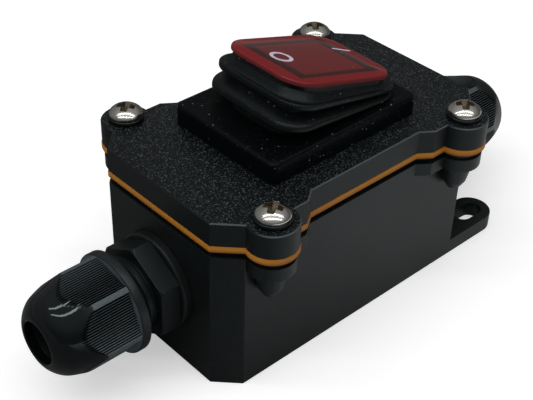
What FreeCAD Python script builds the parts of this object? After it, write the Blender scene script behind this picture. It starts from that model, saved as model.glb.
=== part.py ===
import FreeCAD, Part
import math
import os

from FreeCAD import Placement, Rotation
from FreeCAD import Vector as V

# Frame: X runs from gland to gland, -Y is the long side seen in front, +Z is up.
# The origin is at the centre of the flat base. All sizes are in millimetres.

# Margins of the construction: how far a cutter runs past a face, a joined piece reaches in
PAST = 1.0
BITE = 0.1

# Driving dimensions of the enclosure
BOX_LENGTH = 82.0
BOX_WIDTH = 45.7
BOX_CORNER = 5.3
BASE_HEIGHT = 38.1
BASE_WALL = 2.5
BASE_FLOOR = 2.5
RIM_GROOVE_HEIGHT = 1.4
RIM_GROOVE_DEPTH = 1.1
GASKET_THICK = 1.7
GASKET_PROUD = 0.15
LID_HEIGHT = 5.9
LID_PLATE = 3.0
LID_EDGE_CHAMFER = 0.3
LID_SPIGOT_WALL = 1.4
LID_SPIGOT_REACH = 1.2
LID_SPIGOT_GAP = 0.2

# Ears for the lid screws
BOSS_FROM_END = 10.8
BOSS_OUT = 2.0
BOSS_RADIUS = 5.9
COLLAR_RADIUS = 5.5
COLLAR_HEIGHT = 3.5
EAR_OUT = 2.25
EAR_LENGTH = 9.9
EAR_SLANT = 3.2
POST_TOP_RADIUS = 4.0
POST_FOOT_RADIUS = 2.9
POST_LENGTH = 5.2
POST_TIP_RADIUS = 1.6
POST_TIP_LENGTH = 2.2

# Lid screws, M4 pan head, and their rubber washers
SCREW_RADIUS = 1.9
SCREW_CLEARANCE = 0.3
SCREW_PILOT_CLEARANCE = 0.1
PILOT_SPARE = 1.0
SCREW_LENGTH = 16.0
SCREW_HEAD_RADIUS = 3.9
SCREW_HEAD_HEIGHT = 2.5
SCREW_HEAD_RIM = 0.7
RECESS_SPAN = 4.4
RECESS_FLOOR_SPAN = 1.8
RECESS_WIDTH = 0.9
RECESS_DEPTH = 1.5
SCREW_TURN = 20.0
SCREW_TURN_STEP = 7.0
WASHER_RADIUS = 4.2
WASHER_THICK = 1.1
WASHER_ROUND = 0.4
WASHER_BORE_CLEARANCE = 0.1

# Mounting lugs on two opposite corners
LUG_REACH = 14.5
LUG_WIDTH = 10.4
LUG_THICK = 4.3
LUG_ROOT = 6.0
SLOT_WIDTH = 4.8
SLOT_LENGTH = 8.5
SLOT_END_WALL = 2.5

# Cable glands, one in each end wall
GLAND_ABOVE_MIDDLE = 0.1
GLAND_THREAD_RADIUS = 9.3
GLAND_THREAD_CHAMFER = 0.6
GLAND_HOLE_CLEARANCE = 0.15
GLAND_BORE_RADIUS = 5.6
GLAND_HEX_FLATS = 20.7
GLAND_HEX_THICK = 5.2
GLAND_HEX_CHAMFER = 0.7
GLAND_WASHER_RADIUS = 11.8
GLAND_WASHER_THICK = 2.2
GLAND_WASHER_CHAMFER = 0.4
GLAND_INNER_THREAD = 8.0
LOCKNUT_FLATS = 23.0
LOCKNUT_THICK = 4.5
LOCKNUT_CHAMFER = 1.0
OUTER_THREAD_LENGTH = 9.0
OUTER_THREAD_STEP = 0.7
CLAW_WALL = 1.1
CLAW_TAPER = 0.7
CLAW_LENGTH = 6.5
CLAW_COUNT = 8
CLAW_SLIT = 0.7
THREAD_RUNNING_GAP = 0.1
NUT_GAP = 4.0
NUT_RING_RADIUS = 12.1
NUT_RING_THICK = 2.3
NUT_RING_CHAMFER = 0.4
NUT_GRIP_LENGTH = 9.0
NUT_RIB_COUNT = 14
NUT_RIB_DEPTH = 0.3
NUT_RIB_RUNOUT = 4.0
NUT_CORNER_RADIUS = 11.7
NUT_GRIP_TAPER = 0.7
NUT_FLATS = 20.9
NUT_ANGLE = 52.0
NUT_DOME_LENGTH = 9.8
NUT_DOME_FULLNESS = 0.8
NUT_DOME_STEPS = 7
NUT_LIP = 0.7
NUT_MOUTH_CLEARANCE = 0.4
NUT_WALL = 1.5
NUT_HOLLOW_LEAD = 0.9
SEAL_BORE_RADIUS = 4.6
SEAL_WALL = 2.2
SEAL_FIT = 0.1
SEAL_LENGTH = 10.0
SEAL_FLANGE_OUT = 0.6
SEAL_FLANGE = 1.4
SEAL_FLANGE_BEVEL = 0.5

# Rocker switch: pivot, tilt and cap
PIVOT_RISE = 1.2
ROCKER_TILT = 16.3
CAP_LENGTH = 33.6
CAP_WIDTH = 25.6
CAP_CORNER = 6.5
CAP_THICK = 1.2
CAP_TOP = 13.6
CAP_EDGE_CHAMFER = 0.3
CAP_SKIRT_WALL = 1.2
CAP_SKIRT_DEPTH = 3.2
CAP_FIT = 0.2
CAP_SKIRT_CORNER = 1.5
FRAME_LENGTH = 26.0
FRAME_WIDTH = 19.4
FRAME_WALL = 1.4
FRAME_BOTTOM = 3.0
FRAME_WAIST = 8.4
FRAME_FLARE = 0.8
FRAME_WAIST_LENGTH = 22.0
FRAME_FLOOR = 1.4
FRAME_CORNER = 2.0
TRUNNION_RADIUS = 1.3
TRUNNION_RUNNING_GAP = 0.05
HUB_LENGTH = 7.0
HUB_RADIUS = 2.4
HUB_GAP = 0.3

# Switch body under the lid
OPENING_LENGTH = 37.5
OPENING_WIDTH = 27.5
BODY_GAP = 0.25
BODY_WALL = 1.5
BODY_DEPTH = 24.2
BODY_FLOOR = 2.0
BODY_CORNER = 1.0
BEZEL_OVERLAP = 2.2
BEZEL_SIDE_OVERLAP = 1.1
BEZEL_THICK = 1.8
BEZEL_CORNER = 1.5
PIVOT_EAR_LENGTH = 8.0
PIVOT_EAR_RISE = 2.3
CLIP_WIDTH = 9.0
CLIP_BITE = 1.2
CLIP_HEIGHT = 4.5
CLIP_GAP = 0.2

# Poles: contacts, plungers and blades
POLE_Y = 6.2
FULCRUM_RISE = 3.7
FULCRUM_RADIUS = 0.4
CONTACT_ANGLE = 5.0
CONTACT_GAP = 0.05
CONTACT_WIDTH = 5.2
CONTACT_THICK = 0.8
CONTACT_SADDLE = 0.9
CONTACT_DISH_RADIUS = 10.2
CONTACT_DISH_HALF = 5.0
CONTACT_HALF = 11.6
RIVET_X = 9.8
RIVET_RADIUS = 1.8
RIVET_THICK = 0.7
STOP_LENGTH = 2.0
STOP_GAP = 1.0
BLADE_WIDTH = 6.3
BLADE_THICK = 0.8
BLADE_LENGTH = 9.0
BLADE_FIT = 0.12
BLADE_HOLE_RADIUS = 1.0
BLADE_CORNER = 1.2
TERMINAL_FOOT = 4.4
PLUNGER_RADIUS = 1.8
PLUNGER_NOSE = 1.2
PLUNGER_TIP_GAP = 0.15
PLUNGER_LENGTH = 10.5
BARREL_WALL = 1.1
BARREL_END = 10.5
BARREL_ROOF = 0.2
SPRING_WIRE = 0.22
SPRING_RADIUS = 1.35
SPRING_TURNS = 5
SPRING_END_GAP = 0.05

# Lamp in the actuator frame
LAMP_RADIUS = 1.9
LAMP_LENGTH = 9.0
RESISTOR_RADIUS = 1.1
RESISTOR_LENGTH = 6.5
LEAD_RADIUS = 0.25
LEAD_REACH = 0.8
LEAD_BEND = 0.6
LAMP_Y = 3.2
RESISTOR_Y = -3.9

# Silicone boot
BOOT_FOOT_WALL = 1.65
BOOT_FOOT_SIDE_WALL = 1.65
BOOT_FOOT_HEIGHT = 5.1
BOOT_FOOT_CORNER = 2.0
BOOT_FOOT_CHAMFER = 0.9
BOOT_WALL = 1.1
BOOT_TOP = 12.4
BOOT_TOP_PLATE = 1.2
BOOT_TOP_INSET = 0.7
BOOT_TOP_SIDE_INSET = 0.6
BOOT_TOP_CORNER = 5.5
BOOT_GAP = 0.2
BELLOWS_CORNER = 6.5

# Each station of the bellows from the foot up: height above the foot at the -X end, the same
# at the +X end, centre x, half length and half width beyond those of the cap
BELLOWS = [
    (-0.3, -0.3, 0.0, 0.1, 0.4),
    (1.1, 0.0, 0.4, -0.7, -0.1),
    (3.1, 0.2, 1.2, 0.4, 1.7),
    (4.1, 0.5, 1.45, 0.8, 2.2),
    (5.0, 0.8, 1.7, 0.4, 1.7),
    (6.4, 1.0, 2.2, -0.8, 0.0),
    (8.1, 1.2, 2.6, 0.5, 1.4),
    (9.1, 1.6, 2.8, 0.9, 1.8),
    (10.0, 2.0, 2.95, 0.6, 1.5),
    (11.4, 2.7, 3.25, -0.2, 0.2),
]

# Heights and places that follow from the sizes above
HALF_LENGTH = BOX_LENGTH / 2
HALF_WIDTH = BOX_WIDTH / 2
GASKET_TOP = BASE_HEIGHT + GASKET_THICK
LID_TOP = GASKET_TOP + LID_HEIGHT
LID_UNDERSIDE = LID_TOP - LID_PLATE
GROOVE_BOTTOM = BASE_HEIGHT - RIM_GROOVE_HEIGHT
COLLAR_BOTTOM = GROOVE_BOTTOM - COLLAR_HEIGHT
HEAD_SEAT = LID_TOP + WASHER_THICK
GLAND_AXIS_Z = (BASE_FLOOR + BASE_HEIGHT - LID_SPIGOT_REACH) / 2 + GLAND_ABOVE_MIDDLE
BOSS_X = HALF_LENGTH - BOSS_FROM_END
BOSS_Y = HALF_WIDTH + BOSS_OUT
EAR_HALF_WIDTH = HALF_WIDTH + EAR_OUT
EAR_INNER_X = BOSS_X - EAR_LENGTH
BOSS_CENTRES = [(sx * BOSS_X, sy * BOSS_Y) for sx in (-1, 1) for sy in (-1, 1)]
CAP_UNDERSIDE = CAP_TOP - CAP_THICK
POLES = {"a": POLE_Y, "b": -POLE_Y}
PIVOT_HEIGHT = LID_TOP + PIVOT_RISE
BODY_BOTTOM = LID_TOP - BODY_DEPTH
FLOOR_TOP = BODY_BOTTOM + BODY_FLOOR
FULCRUM_HEIGHT = FLOOR_TOP + FULCRUM_RISE
FOOT_TOP = LID_TOP + BOOT_FOOT_HEIGHT
ROCKER = Placement(V(0, 0, PIVOT_HEIGHT), Rotation(V(0, 1, 0), ROCKER_TILT))
PLUNGER_REACH = PIVOT_HEIGHT - FULCRUM_HEIGHT - CONTACT_SADDLE - PLUNGER_TIP_GAP


def box(x0, x1, y0, y1, z0, z1):
    return Part.makeBox(x1 - x0, y1 - y0, z1 - z0, V(x0, y0, z0))


def block(length, width, z0, z1, x=0.0, y=0.0):
    return box(x - length / 2, x + length / 2, y - width / 2, y + width / 2, z0, z1)


def rod(radius, z0, z1, x=0.0, y=0.0):
    return Part.makeCylinder(radius, z1 - z0, V(x, y, z0))


def rod_x(radius, x0, x1, y=0.0, z=0.0):
    return Part.makeCylinder(radius, x1 - x0, V(x0, y, z), V(1, 0, 0))


def rod_y(radius, y0, y1, x=0.0, z=0.0):
    return Part.makeCylinder(radius, y1 - y0, V(x, y0, z), V(0, 1, 0))


def polygon(points, z):
    return Part.makePolygon([V(x, y, z) for x, y in points] + [V(*points[0], z)])


def prism(points, z0, z1):
    return Part.Face(polygon(points, z0)).extrude(V(0, 0, z1 - z0))


def rounded_wire(length, width, radius):
    """Rounded rectangle about the origin in the XY plane."""
    hx, hy, r = length / 2, width / 2, radius
    bend = r * (1 - math.sqrt(0.5))
    edges = []
    for sx, sy in ((1, 1), (-1, 1), (-1, -1), (1, -1)):
        on_x = V(sx * hx, sy * (hy - r), 0)
        on_y = V(sx * (hx - r), sy * hy, 0)
        start, end = (on_x, on_y) if sx * sy > 0 else (on_y, on_x)
        middle = V(sx * (hx - bend), sy * (hy - bend), 0)
        edges.append(Part.Arc(start, middle, end).toShape())
    ends = [(e.Vertexes[0].Point, e.Vertexes[-1].Point) for e in edges]
    wire_edges = []
    for n, edge in enumerate(edges):
        wire_edges.append(edge)
        wire_edges.append(Part.makeLine(ends[n][1], ends[(n + 1) % 4][0]))
    return Part.Wire(wire_edges)


def rounded_block(length, width, radius, z0, z1):
    wire = rounded_wire(length, width, radius)
    wire.translate(V(0, 0, z0))
    return Part.Face(wire).extrude(V(0, 0, z1 - z0))


def flat_prism(points, extrusion):
    """Push a closed flat outline of points along a vector."""
    return Part.Face(Part.makePolygon(points + [points[0]])).extrude(extrusion)


def revolve_x(profile):
    """Turn a closed (x, radius) outline about the X axis."""
    points = [V(x, r, 0) for x, r in profile]
    face = Part.Face(Part.makePolygon(points + [points[0]]))
    return face.revolve(V(0, 0, 0), V(1, 0, 0), 360)


def hexagon(flats, x0, x1, angle=90.0):
    """Hexagonal prism along X with a corner at the given angle in the YZ plane."""
    corner = flats / math.sqrt(3)
    turns = [math.radians(angle + 60 * n) for n in range(6)]
    points = [V(x0, corner * math.cos(t), corner * math.sin(t)) for t in turns]
    return flat_prism(points, V(x1 - x0, 0, 0))


def fused(shapes):
    first, rest = shapes[0], shapes[1:]
    return first.fuse(rest).removeSplitter() if rest else first


# Outlines of the enclosure, seen from above

def mirrored(quarter):
    """Close the outline of one quarter, given from the +X axis to the +Y axis."""
    half = quarter + [(-x, y) for x, y in reversed(quarter)]
    return half + [(-x, -y) for x, y in half]


def box_outline(inset):
    """Plan of the box walls: a rectangle with its corners cut at 45 degrees."""
    cut = BOX_CORNER - inset * (2 - math.sqrt(2))
    x, y = HALF_LENGTH - inset, HALF_WIDTH - inset
    return mirrored([(x, y - cut), (x - cut, y)])


def ear_outline(inset):
    """Plan of the lid: the box plan with the sides stepped out to the screw bosses."""
    half_angle = math.tan(math.radians(22.5))
    corner_y = HALF_WIDTH - BOX_CORNER
    cut_x = HALF_LENGTH - (EAR_HALF_WIDTH - corner_y)
    slant = EAR_INNER_X - EAR_SLANT
    shift = inset * half_angle
    return mirrored(
        [
            (HALF_LENGTH - inset, corner_y - shift),
            (cut_x - shift, EAR_HALF_WIDTH - inset),
            (EAR_INNER_X + shift, EAR_HALF_WIDTH - inset),
            (slant + shift, HALF_WIDTH - inset),
        ]
    )


def eared_prism(inset, boss_radius, z0, z1):
    """Solid of the lid plan between two heights, with a round boss at each screw."""
    solid = prism(ear_outline(inset), z0, z1)
    bosses = [rod(boss_radius, z0, z1, x, y) for x, y in BOSS_CENTRES]
    past_boss = BOSS_X + boss_radius
    for sx in (-1, 1):
        for sy in (-1, 1):
            corner = prism(
                [
                    (sx * BOSS_X, sy * (EAR_HALF_WIDTH - BOSS_RADIUS)),
                    (sx * BOSS_X, sy * 2 * EAR_HALF_WIDTH),
                    (sx * 2 * past_boss, sy * 2 * EAR_HALF_WIDTH),
                    (sx * 2 * past_boss, sy * (EAR_HALF_WIDTH - BOSS_RADIUS)),
                ],
                z0,
                z1,
            )
            kept = corner.common(prism(box_outline(inset), z0, z1))
            solid = solid.cut(corner).fuse(kept)
    return fused([solid] + bosses)


def screw_holes(radius, z0, z1):
    return Part.makeCompound([rod(radius, z0, z1, x, y) for x, y in BOSS_CENTRES])


# Enclosure

def mounting_lug():
    """Flat tongue beyond the +X end at the -Y side, with an oblong slot."""
    end_radius = LUG_WIDTH / 2
    y = -HALF_WIDTH + end_radius
    tip = HALF_LENGTH + LUG_REACH
    tongue = block(tip - end_radius - HALF_LENGTH + LUG_ROOT, LUG_WIDTH, 0, LUG_THICK)
    tongue.translate(V((tip - end_radius + HALF_LENGTH - LUG_ROOT) / 2, y, 0))
    tongue = fused([tongue, rod(end_radius, 0, LUG_THICK, tip - end_radius, y)])
    slot_x = tip - SLOT_END_WALL - SLOT_LENGTH / 2
    slot_end = SLOT_WIDTH / 2
    slot = block(SLOT_LENGTH - SLOT_WIDTH, SLOT_WIDTH, -PAST, LUG_THICK + PAST, slot_x, y)
    for s in (-1, 1):
        x = slot_x + s * (SLOT_LENGTH / 2 - slot_end)
        slot = slot.fuse(rod(slot_end, -PAST, LUG_THICK + PAST, x, y))
    return tongue.cut(slot)


def base_housing():
    walls = prism(box_outline(0), 0, GROOVE_BOTTOM)
    collar = eared_prism(0, COLLAR_RADIUS, COLLAR_BOTTOM, GROOVE_BOTTOM)
    rim_radius = BOSS_RADIUS - RIM_GROOVE_DEPTH
    rim = eared_prism(RIM_GROOVE_DEPTH, rim_radius, GROOVE_BOTTOM, BASE_HEIGHT)
    posts = []
    for x, y in BOSS_CENTRES:
        top = V(x, y, COLLAR_BOTTOM)
        foot = V(x, y, COLLAR_BOTTOM - POST_LENGTH)
        down = V(0, 0, -1)
        posts.append(Part.makeCone(POST_TOP_RADIUS, POST_FOOT_RADIUS, POST_LENGTH, top, down))
        posts.append(Part.makeCone(POST_FOOT_RADIUS, POST_TIP_RADIUS, POST_TIP_LENGTH, foot, down))
    lug = mounting_lug()
    far_lug = lug.copy()
    far_lug.rotate(V(0, 0, 0), V(0, 0, 1), 180)
    body = fused([walls, collar, rim, lug, far_lug] + posts)
    cavity = prism(box_outline(BASE_WALL), BASE_FLOOR, BASE_HEIGHT + PAST)
    hole = GLAND_THREAD_RADIUS + GLAND_HOLE_CLEARANCE
    bores = rod_x(hole, -HALF_LENGTH - PAST, HALF_LENGTH + PAST, 0, GLAND_AXIS_Z)
    pilot_bottom = HEAD_SEAT - SCREW_LENGTH - PILOT_SPARE
    pilots = screw_holes(SCREW_RADIUS + SCREW_PILOT_CLEARANCE, pilot_bottom, BASE_HEIGHT + PAST)
    return body.cut(cavity).cut(bores).cut(pilots)


def lid_gasket():
    proud = BOSS_RADIUS + GASKET_PROUD
    ring = eared_prism(-GASKET_PROUD, proud, BASE_HEIGHT, GASKET_TOP)
    ring = ring.cut(prism(box_outline(BASE_WALL), BASE_HEIGHT - PAST, GASKET_TOP + PAST))
    hole = SCREW_RADIUS + SCREW_CLEARANCE
    return ring.cut(screw_holes(hole, BASE_HEIGHT - PAST, GASKET_TOP + PAST))


def lid():
    cover = eared_prism(0, BOSS_RADIUS, GASKET_TOP, LID_TOP)
    top_edges = [
        e for e in cover.Edges
        if abs(e.BoundBox.ZMin - LID_TOP) < 1e-6 and abs(e.BoundBox.ZMax - LID_TOP) < 1e-6
    ]
    cover = cover.makeChamfer(LID_EDGE_CHAMFER, top_edges)
    cover = cover.cut(prism(box_outline(BASE_WALL), GASKET_TOP - PAST, LID_UNDERSIDE))
    outer = box_outline(BASE_WALL + LID_SPIGOT_GAP)
    inner = box_outline(BASE_WALL + LID_SPIGOT_GAP + LID_SPIGOT_WALL)
    spigot_bottom = BASE_HEIGHT - LID_SPIGOT_REACH
    spigot = prism(outer, spigot_bottom, LID_UNDERSIDE)
    spigot = spigot.cut(prism(inner, spigot_bottom - PAST, LID_UNDERSIDE + PAST))
    cover = fused([cover, spigot])
    cover = cover.cut(block(OPENING_LENGTH, OPENING_WIDTH, GASKET_TOP, LID_TOP + PAST))
    hole = SCREW_RADIUS + SCREW_CLEARANCE
    return cover.cut(screw_holes(hole, GASKET_TOP - PAST, LID_TOP + PAST))


def pan_head_screw(x, y, turn):
    """Shank and domed head with a cross recess, turned as it was left when tightened."""
    dome_rise = SCREW_HEAD_HEIGHT - SCREW_HEAD_RIM
    sphere_radius = (SCREW_HEAD_RADIUS**2 + dome_rise**2) / (2 * dome_rise)
    centre = V(0, 0, SCREW_HEAD_HEIGHT - sphere_radius)
    dome = Part.makeSphere(sphere_radius, centre)
    head = rod(SCREW_HEAD_RADIUS, 0, SCREW_HEAD_HEIGHT + PAST).common(dome)
    floor = SCREW_HEAD_HEIGHT - RECESS_DEPTH
    arms = []
    for quarter in (0, 90):
        sides = [
            (-RECESS_SPAN / 2, SCREW_HEAD_HEIGHT + BITE),
            (RECESS_SPAN / 2, SCREW_HEAD_HEIGHT + BITE),
            (RECESS_FLOOR_SPAN / 2, floor),
            (-RECESS_FLOOR_SPAN / 2, floor),
        ]
        points = [V(u, -RECESS_WIDTH / 2, w) for u, w in sides]
        arm = flat_prism(points, V(0, RECESS_WIDTH, 0))
        arm.rotate(V(0, 0, 0), V(0, 0, 1), quarter)
        arms.append(arm)
    head = head.cut(fused(arms))
    tip = SCREW_RADIUS / 2
    shank = rod(SCREW_RADIUS, tip - SCREW_LENGTH, BITE)
    point = Part.makeCone(tip, SCREW_RADIUS, tip, V(0, 0, -SCREW_LENGTH))
    screw = fused([head, shank, point])
    screw.rotate(V(0, 0, 0), V(0, 0, 1), turn)
    screw.translate(V(x, y, HEAD_SEAT))
    return screw


def lid_screws():
    screws = []
    for n, (x, y) in enumerate(BOSS_CENTRES):
        screws.append(pan_head_screw(x, y, SCREW_TURN + n * SCREW_TURN_STEP))
    return Part.makeCompound(screws)


def screw_washers():
    washers = []
    hole = SCREW_RADIUS + WASHER_BORE_CLEARANCE
    for x, y in BOSS_CENTRES:
        ring = rod(WASHER_RADIUS, LID_TOP, HEAD_SEAT, x, y)
        ring = ring.makeChamfer(WASHER_ROUND, [e for e in ring.Edges if e.Closed])
        washers.append(ring.cut(rod(hole, LID_TOP - PAST, HEAD_SEAT + PAST, x, y)))
    return Part.makeCompound(washers)


# Cable gland, built on the X axis with the wall face at x = 0 and outside at +X

HEX_START = GLAND_WASHER_THICK
HEX_END = HEX_START + GLAND_HEX_THICK
NUT_START = HEX_END + NUT_GAP
RING_END = NUT_START + NUT_RING_THICK
GRIP_END = RING_END + NUT_GRIP_LENGTH
NUT_TIP = GRIP_END + NUT_DOME_LENGTH
SEAL_END = NUT_TIP - NUT_LIP - NUT_WALL
THREAD_END = HEX_END + OUTER_THREAD_LENGTH
CLAW_END = THREAD_END + CLAW_LENGTH
SEAL_RADIUS = SEAL_BORE_RADIUS + SEAL_WALL
CLAW_BORE_RADIUS = SEAL_RADIUS + SEAL_FIT
CLAW_RADIUS = CLAW_BORE_RADIUS + CLAW_WALL
OUTER_THREAD_RADIUS = CLAW_RADIUS + OUTER_THREAD_STEP
SEAL_FLANGE_RADIUS = SEAL_RADIUS + SEAL_FLANGE_OUT
NUT_MOUTH_RADIUS = SEAL_BORE_RADIUS + NUT_MOUTH_CLEARANCE
NUT_TIP_RADIUS = NUT_MOUTH_RADIUS + NUT_LIP


def gland_washer():
    bore = GLAND_THREAD_RADIUS + THREAD_RUNNING_GAP
    face = GLAND_WASHER_THICK
    return revolve_x([
        (0, bore), (face, bore), (face, GLAND_WASHER_RADIUS - GLAND_WASHER_CHAMFER),
        (face - GLAND_WASHER_CHAMFER, GLAND_WASHER_RADIUS), (0, GLAND_WASHER_RADIUS),
    ])


def gland_locknut():
    end = -BASE_WALL - LOCKNUT_THICK
    nut = hexagon(LOCKNUT_FLATS, end, -BASE_WALL)
    corner = LOCKNUT_FLATS / math.sqrt(3)
    turned = revolve_x([
        (end, 0), (end, corner - LOCKNUT_CHAMFER), (end + LOCKNUT_CHAMFER, corner + BITE),
        (-BASE_WALL, corner + BITE), (-BASE_WALL, 0),
    ])
    bore = rod_x(GLAND_THREAD_RADIUS + THREAD_RUNNING_GAP, end - PAST, 0)
    return nut.common(turned).cut(bore)


def gland_body():
    thread = revolve_x([
        (-GLAND_INNER_THREAD, 0), (-GLAND_INNER_THREAD, GLAND_THREAD_RADIUS - GLAND_THREAD_CHAMFER),
        (GLAND_THREAD_CHAMFER - GLAND_INNER_THREAD, GLAND_THREAD_RADIUS),
        (HEX_START, GLAND_THREAD_RADIUS), (HEX_START, 0),
    ])
    corner = GLAND_HEX_FLATS / math.sqrt(3)
    hex_part = hexagon(GLAND_HEX_FLATS, HEX_START, HEX_END)
    hex_part = hex_part.common(revolve_x([
        (HEX_START, 0), (HEX_START, corner + BITE), (HEX_END - GLAND_HEX_CHAMFER, corner + BITE),
        (HEX_END, corner - GLAND_HEX_CHAMFER), (HEX_END, 0),
    ]))
    outer = revolve_x([
        (HEX_END, 0), (HEX_END, OUTER_THREAD_RADIUS), (THREAD_END, OUTER_THREAD_RADIUS),
        (THREAD_END, CLAW_RADIUS), (CLAW_END, CLAW_RADIUS - CLAW_TAPER), (CLAW_END, 0),
    ])
    body = fused([thread, hex_part, outer])
    body = body.cut(rod_x(GLAND_BORE_RADIUS, -GLAND_INNER_THREAD - PAST, CLAW_END + PAST))
    body = body.cut(rod_x(CLAW_BORE_RADIUS, HEX_END, CLAW_END + PAST))
    slits = []
    for n in range(CLAW_COUNT):
        slit = box(THREAD_END, CLAW_END + PAST, -CLAW_SLIT / 2, CLAW_SLIT / 2, 0, CLAW_RADIUS + PAST)
        slit.rotate(V(0, 0, 0), V(1, 0, 0), n * 360 / CLAW_COUNT)
        slits.append(slit)
    return body.cut(slits)


def gland_seal():
    """Rubber sleeve in the claws, with a flange under the lip of the dome nut."""
    flange_start = SEAL_END - SEAL_FLANGE
    start = flange_start - SEAL_LENGTH
    return revolve_x([
        (start, SEAL_BORE_RADIUS), (start, SEAL_RADIUS), (flange_start, SEAL_RADIUS),
        (flange_start, SEAL_FLANGE_RADIUS), (SEAL_END - SEAL_FLANGE_BEVEL, SEAL_FLANGE_RADIUS),
        (SEAL_END, SEAL_RADIUS), (SEAL_END, SEAL_BORE_RADIUS),
    ])


def nut_profile():
    """Outline of the dome nut beyond its ring: a slight taper, then the dome to the mouth."""
    start_radius = NUT_CORNER_RADIUS - NUT_GRIP_TAPER
    end_radius = NUT_TIP_RADIUS + NUT_LIP
    points = [(RING_END, NUT_CORNER_RADIUS), (GRIP_END, start_radius)]
    for n in range(1, NUT_DOME_STEPS + 1):
        turn = math.radians(90 * n / NUT_DOME_STEPS)
        x = GRIP_END + (NUT_DOME_LENGTH - NUT_LIP) * math.sin(turn)
        r = end_radius + (start_radius - end_radius) * math.cos(turn) ** NUT_DOME_FULLNESS
        points.append((x, r))
    points.append((NUT_TIP, NUT_TIP_RADIUS))
    points.append((NUT_TIP, NUT_MOUTH_RADIUS + NUT_LIP / 2))
    points.append((NUT_TIP - NUT_LIP, NUT_MOUTH_RADIUS))
    return points


def rib_grooves():
    """Fine axial grooves across each of the six flats, which leave the ribs between them."""
    apothem = NUT_FLATS / 2
    half_flat = math.sqrt((NUT_CORNER_RADIUS - NUT_GRIP_TAPER) ** 2 - apothem**2)
    pitch = 2 * half_flat / NUT_RIB_COUNT
    grooves = []
    for side in range(6):
        turn = NUT_ANGLE - 60 + 60 * side
        for n in range(NUT_RIB_COUNT):
            middle = (n - (NUT_RIB_COUNT - 1) / 2) * pitch
            outline = [
                (middle - pitch / 3, apothem + BITE),
                (middle + pitch / 3, apothem + BITE),
                (middle, apothem - NUT_RIB_DEPTH),
            ]
            points = [V(RING_END, y, z) for y, z in outline]
            groove = flat_prism(points, V(NUT_GRIP_LENGTH + NUT_RIB_RUNOUT, 0, 0))
            groove.rotate(V(0, 0, 0), V(1, 0, 0), turn)
            grooves.append(groove)
    return grooves


def gland_nut():
    edge = NUT_RING_CHAMFER
    ring = revolve_x([
        (NUT_START, 0), (NUT_START, NUT_RING_RADIUS - edge), (NUT_START + edge, NUT_RING_RADIUS),
        (RING_END - edge, NUT_RING_RADIUS), (RING_END, NUT_RING_RADIUS - edge), (RING_END, 0),
    ])
    dome_root = RING_END - BITE
    dome = revolve_x([(dome_root, 0), (dome_root, NUT_CORNER_RADIUS)]
                     + nut_profile() + [(NUT_TIP - NUT_LIP, 0)])
    dome = dome.common(hexagon(NUT_FLATS, dome_root, NUT_TIP + PAST, NUT_ANGLE))
    nut = fused([ring, dome.cut(rib_grooves())])
    thread_radius = OUTER_THREAD_RADIUS + THREAD_RUNNING_GAP
    hollow_start = THREAD_END + NUT_HOLLOW_LEAD
    thread_bore = rod_x(thread_radius, NUT_START - PAST, hollow_start + BITE)
    hollow = revolve_x([
        (hollow_start, 0), (hollow_start, thread_radius), (CLAW_END, CLAW_RADIUS + SEAL_FIT),
        (SEAL_END - SEAL_FLANGE_BEVEL, SEAL_FLANGE_RADIUS + SEAL_FIT),
        (SEAL_END, SEAL_RADIUS + SEAL_FIT), (SEAL_END, 0),
    ])
    mouth = rod_x(NUT_MOUTH_RADIUS, SEAL_END - PAST, NUT_TIP + PAST)
    return nut.cut(thread_bore).cut(hollow).cut(mouth)


def place_gland(shape, side):
    placed = shape.copy()
    if side == "left":
        placed.rotate(V(0, 0, 0), V(0, 0, 1), 180)
    sign = -1 if side == "left" else 1
    placed.translate(V(sign * HALF_LENGTH, 0, GLAND_AXIS_Z))
    return placed


# Rocker, built about its pivot at the origin and then tilted to ON

def rocker_cap():
    plate = rounded_block(CAP_LENGTH, CAP_WIDTH, CAP_CORNER, CAP_UNDERSIDE, CAP_TOP)
    rims = [e for e in plate.Edges if abs(e.BoundBox.ZMax - e.BoundBox.ZMin) < 1e-6]
    plate = plate.makeChamfer(CAP_EDGE_CHAMFER, rims)
    length = FRAME_LENGTH - 2 * FRAME_WALL - 2 * CAP_FIT
    width = FRAME_WIDTH - 2 * FRAME_WALL - 2 * CAP_FIT
    bottom = CAP_UNDERSIDE - CAP_SKIRT_DEPTH
    skirt = rounded_block(length, width, CAP_SKIRT_CORNER, bottom, CAP_UNDERSIDE + BITE)
    well = rounded_block(length - 2 * CAP_SKIRT_WALL, width - 2 * CAP_SKIRT_WALL,
                         CAP_SKIRT_CORNER / 2, bottom - PAST, CAP_UNDERSIDE)
    return fused([plate, skirt.cut(well)])


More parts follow.
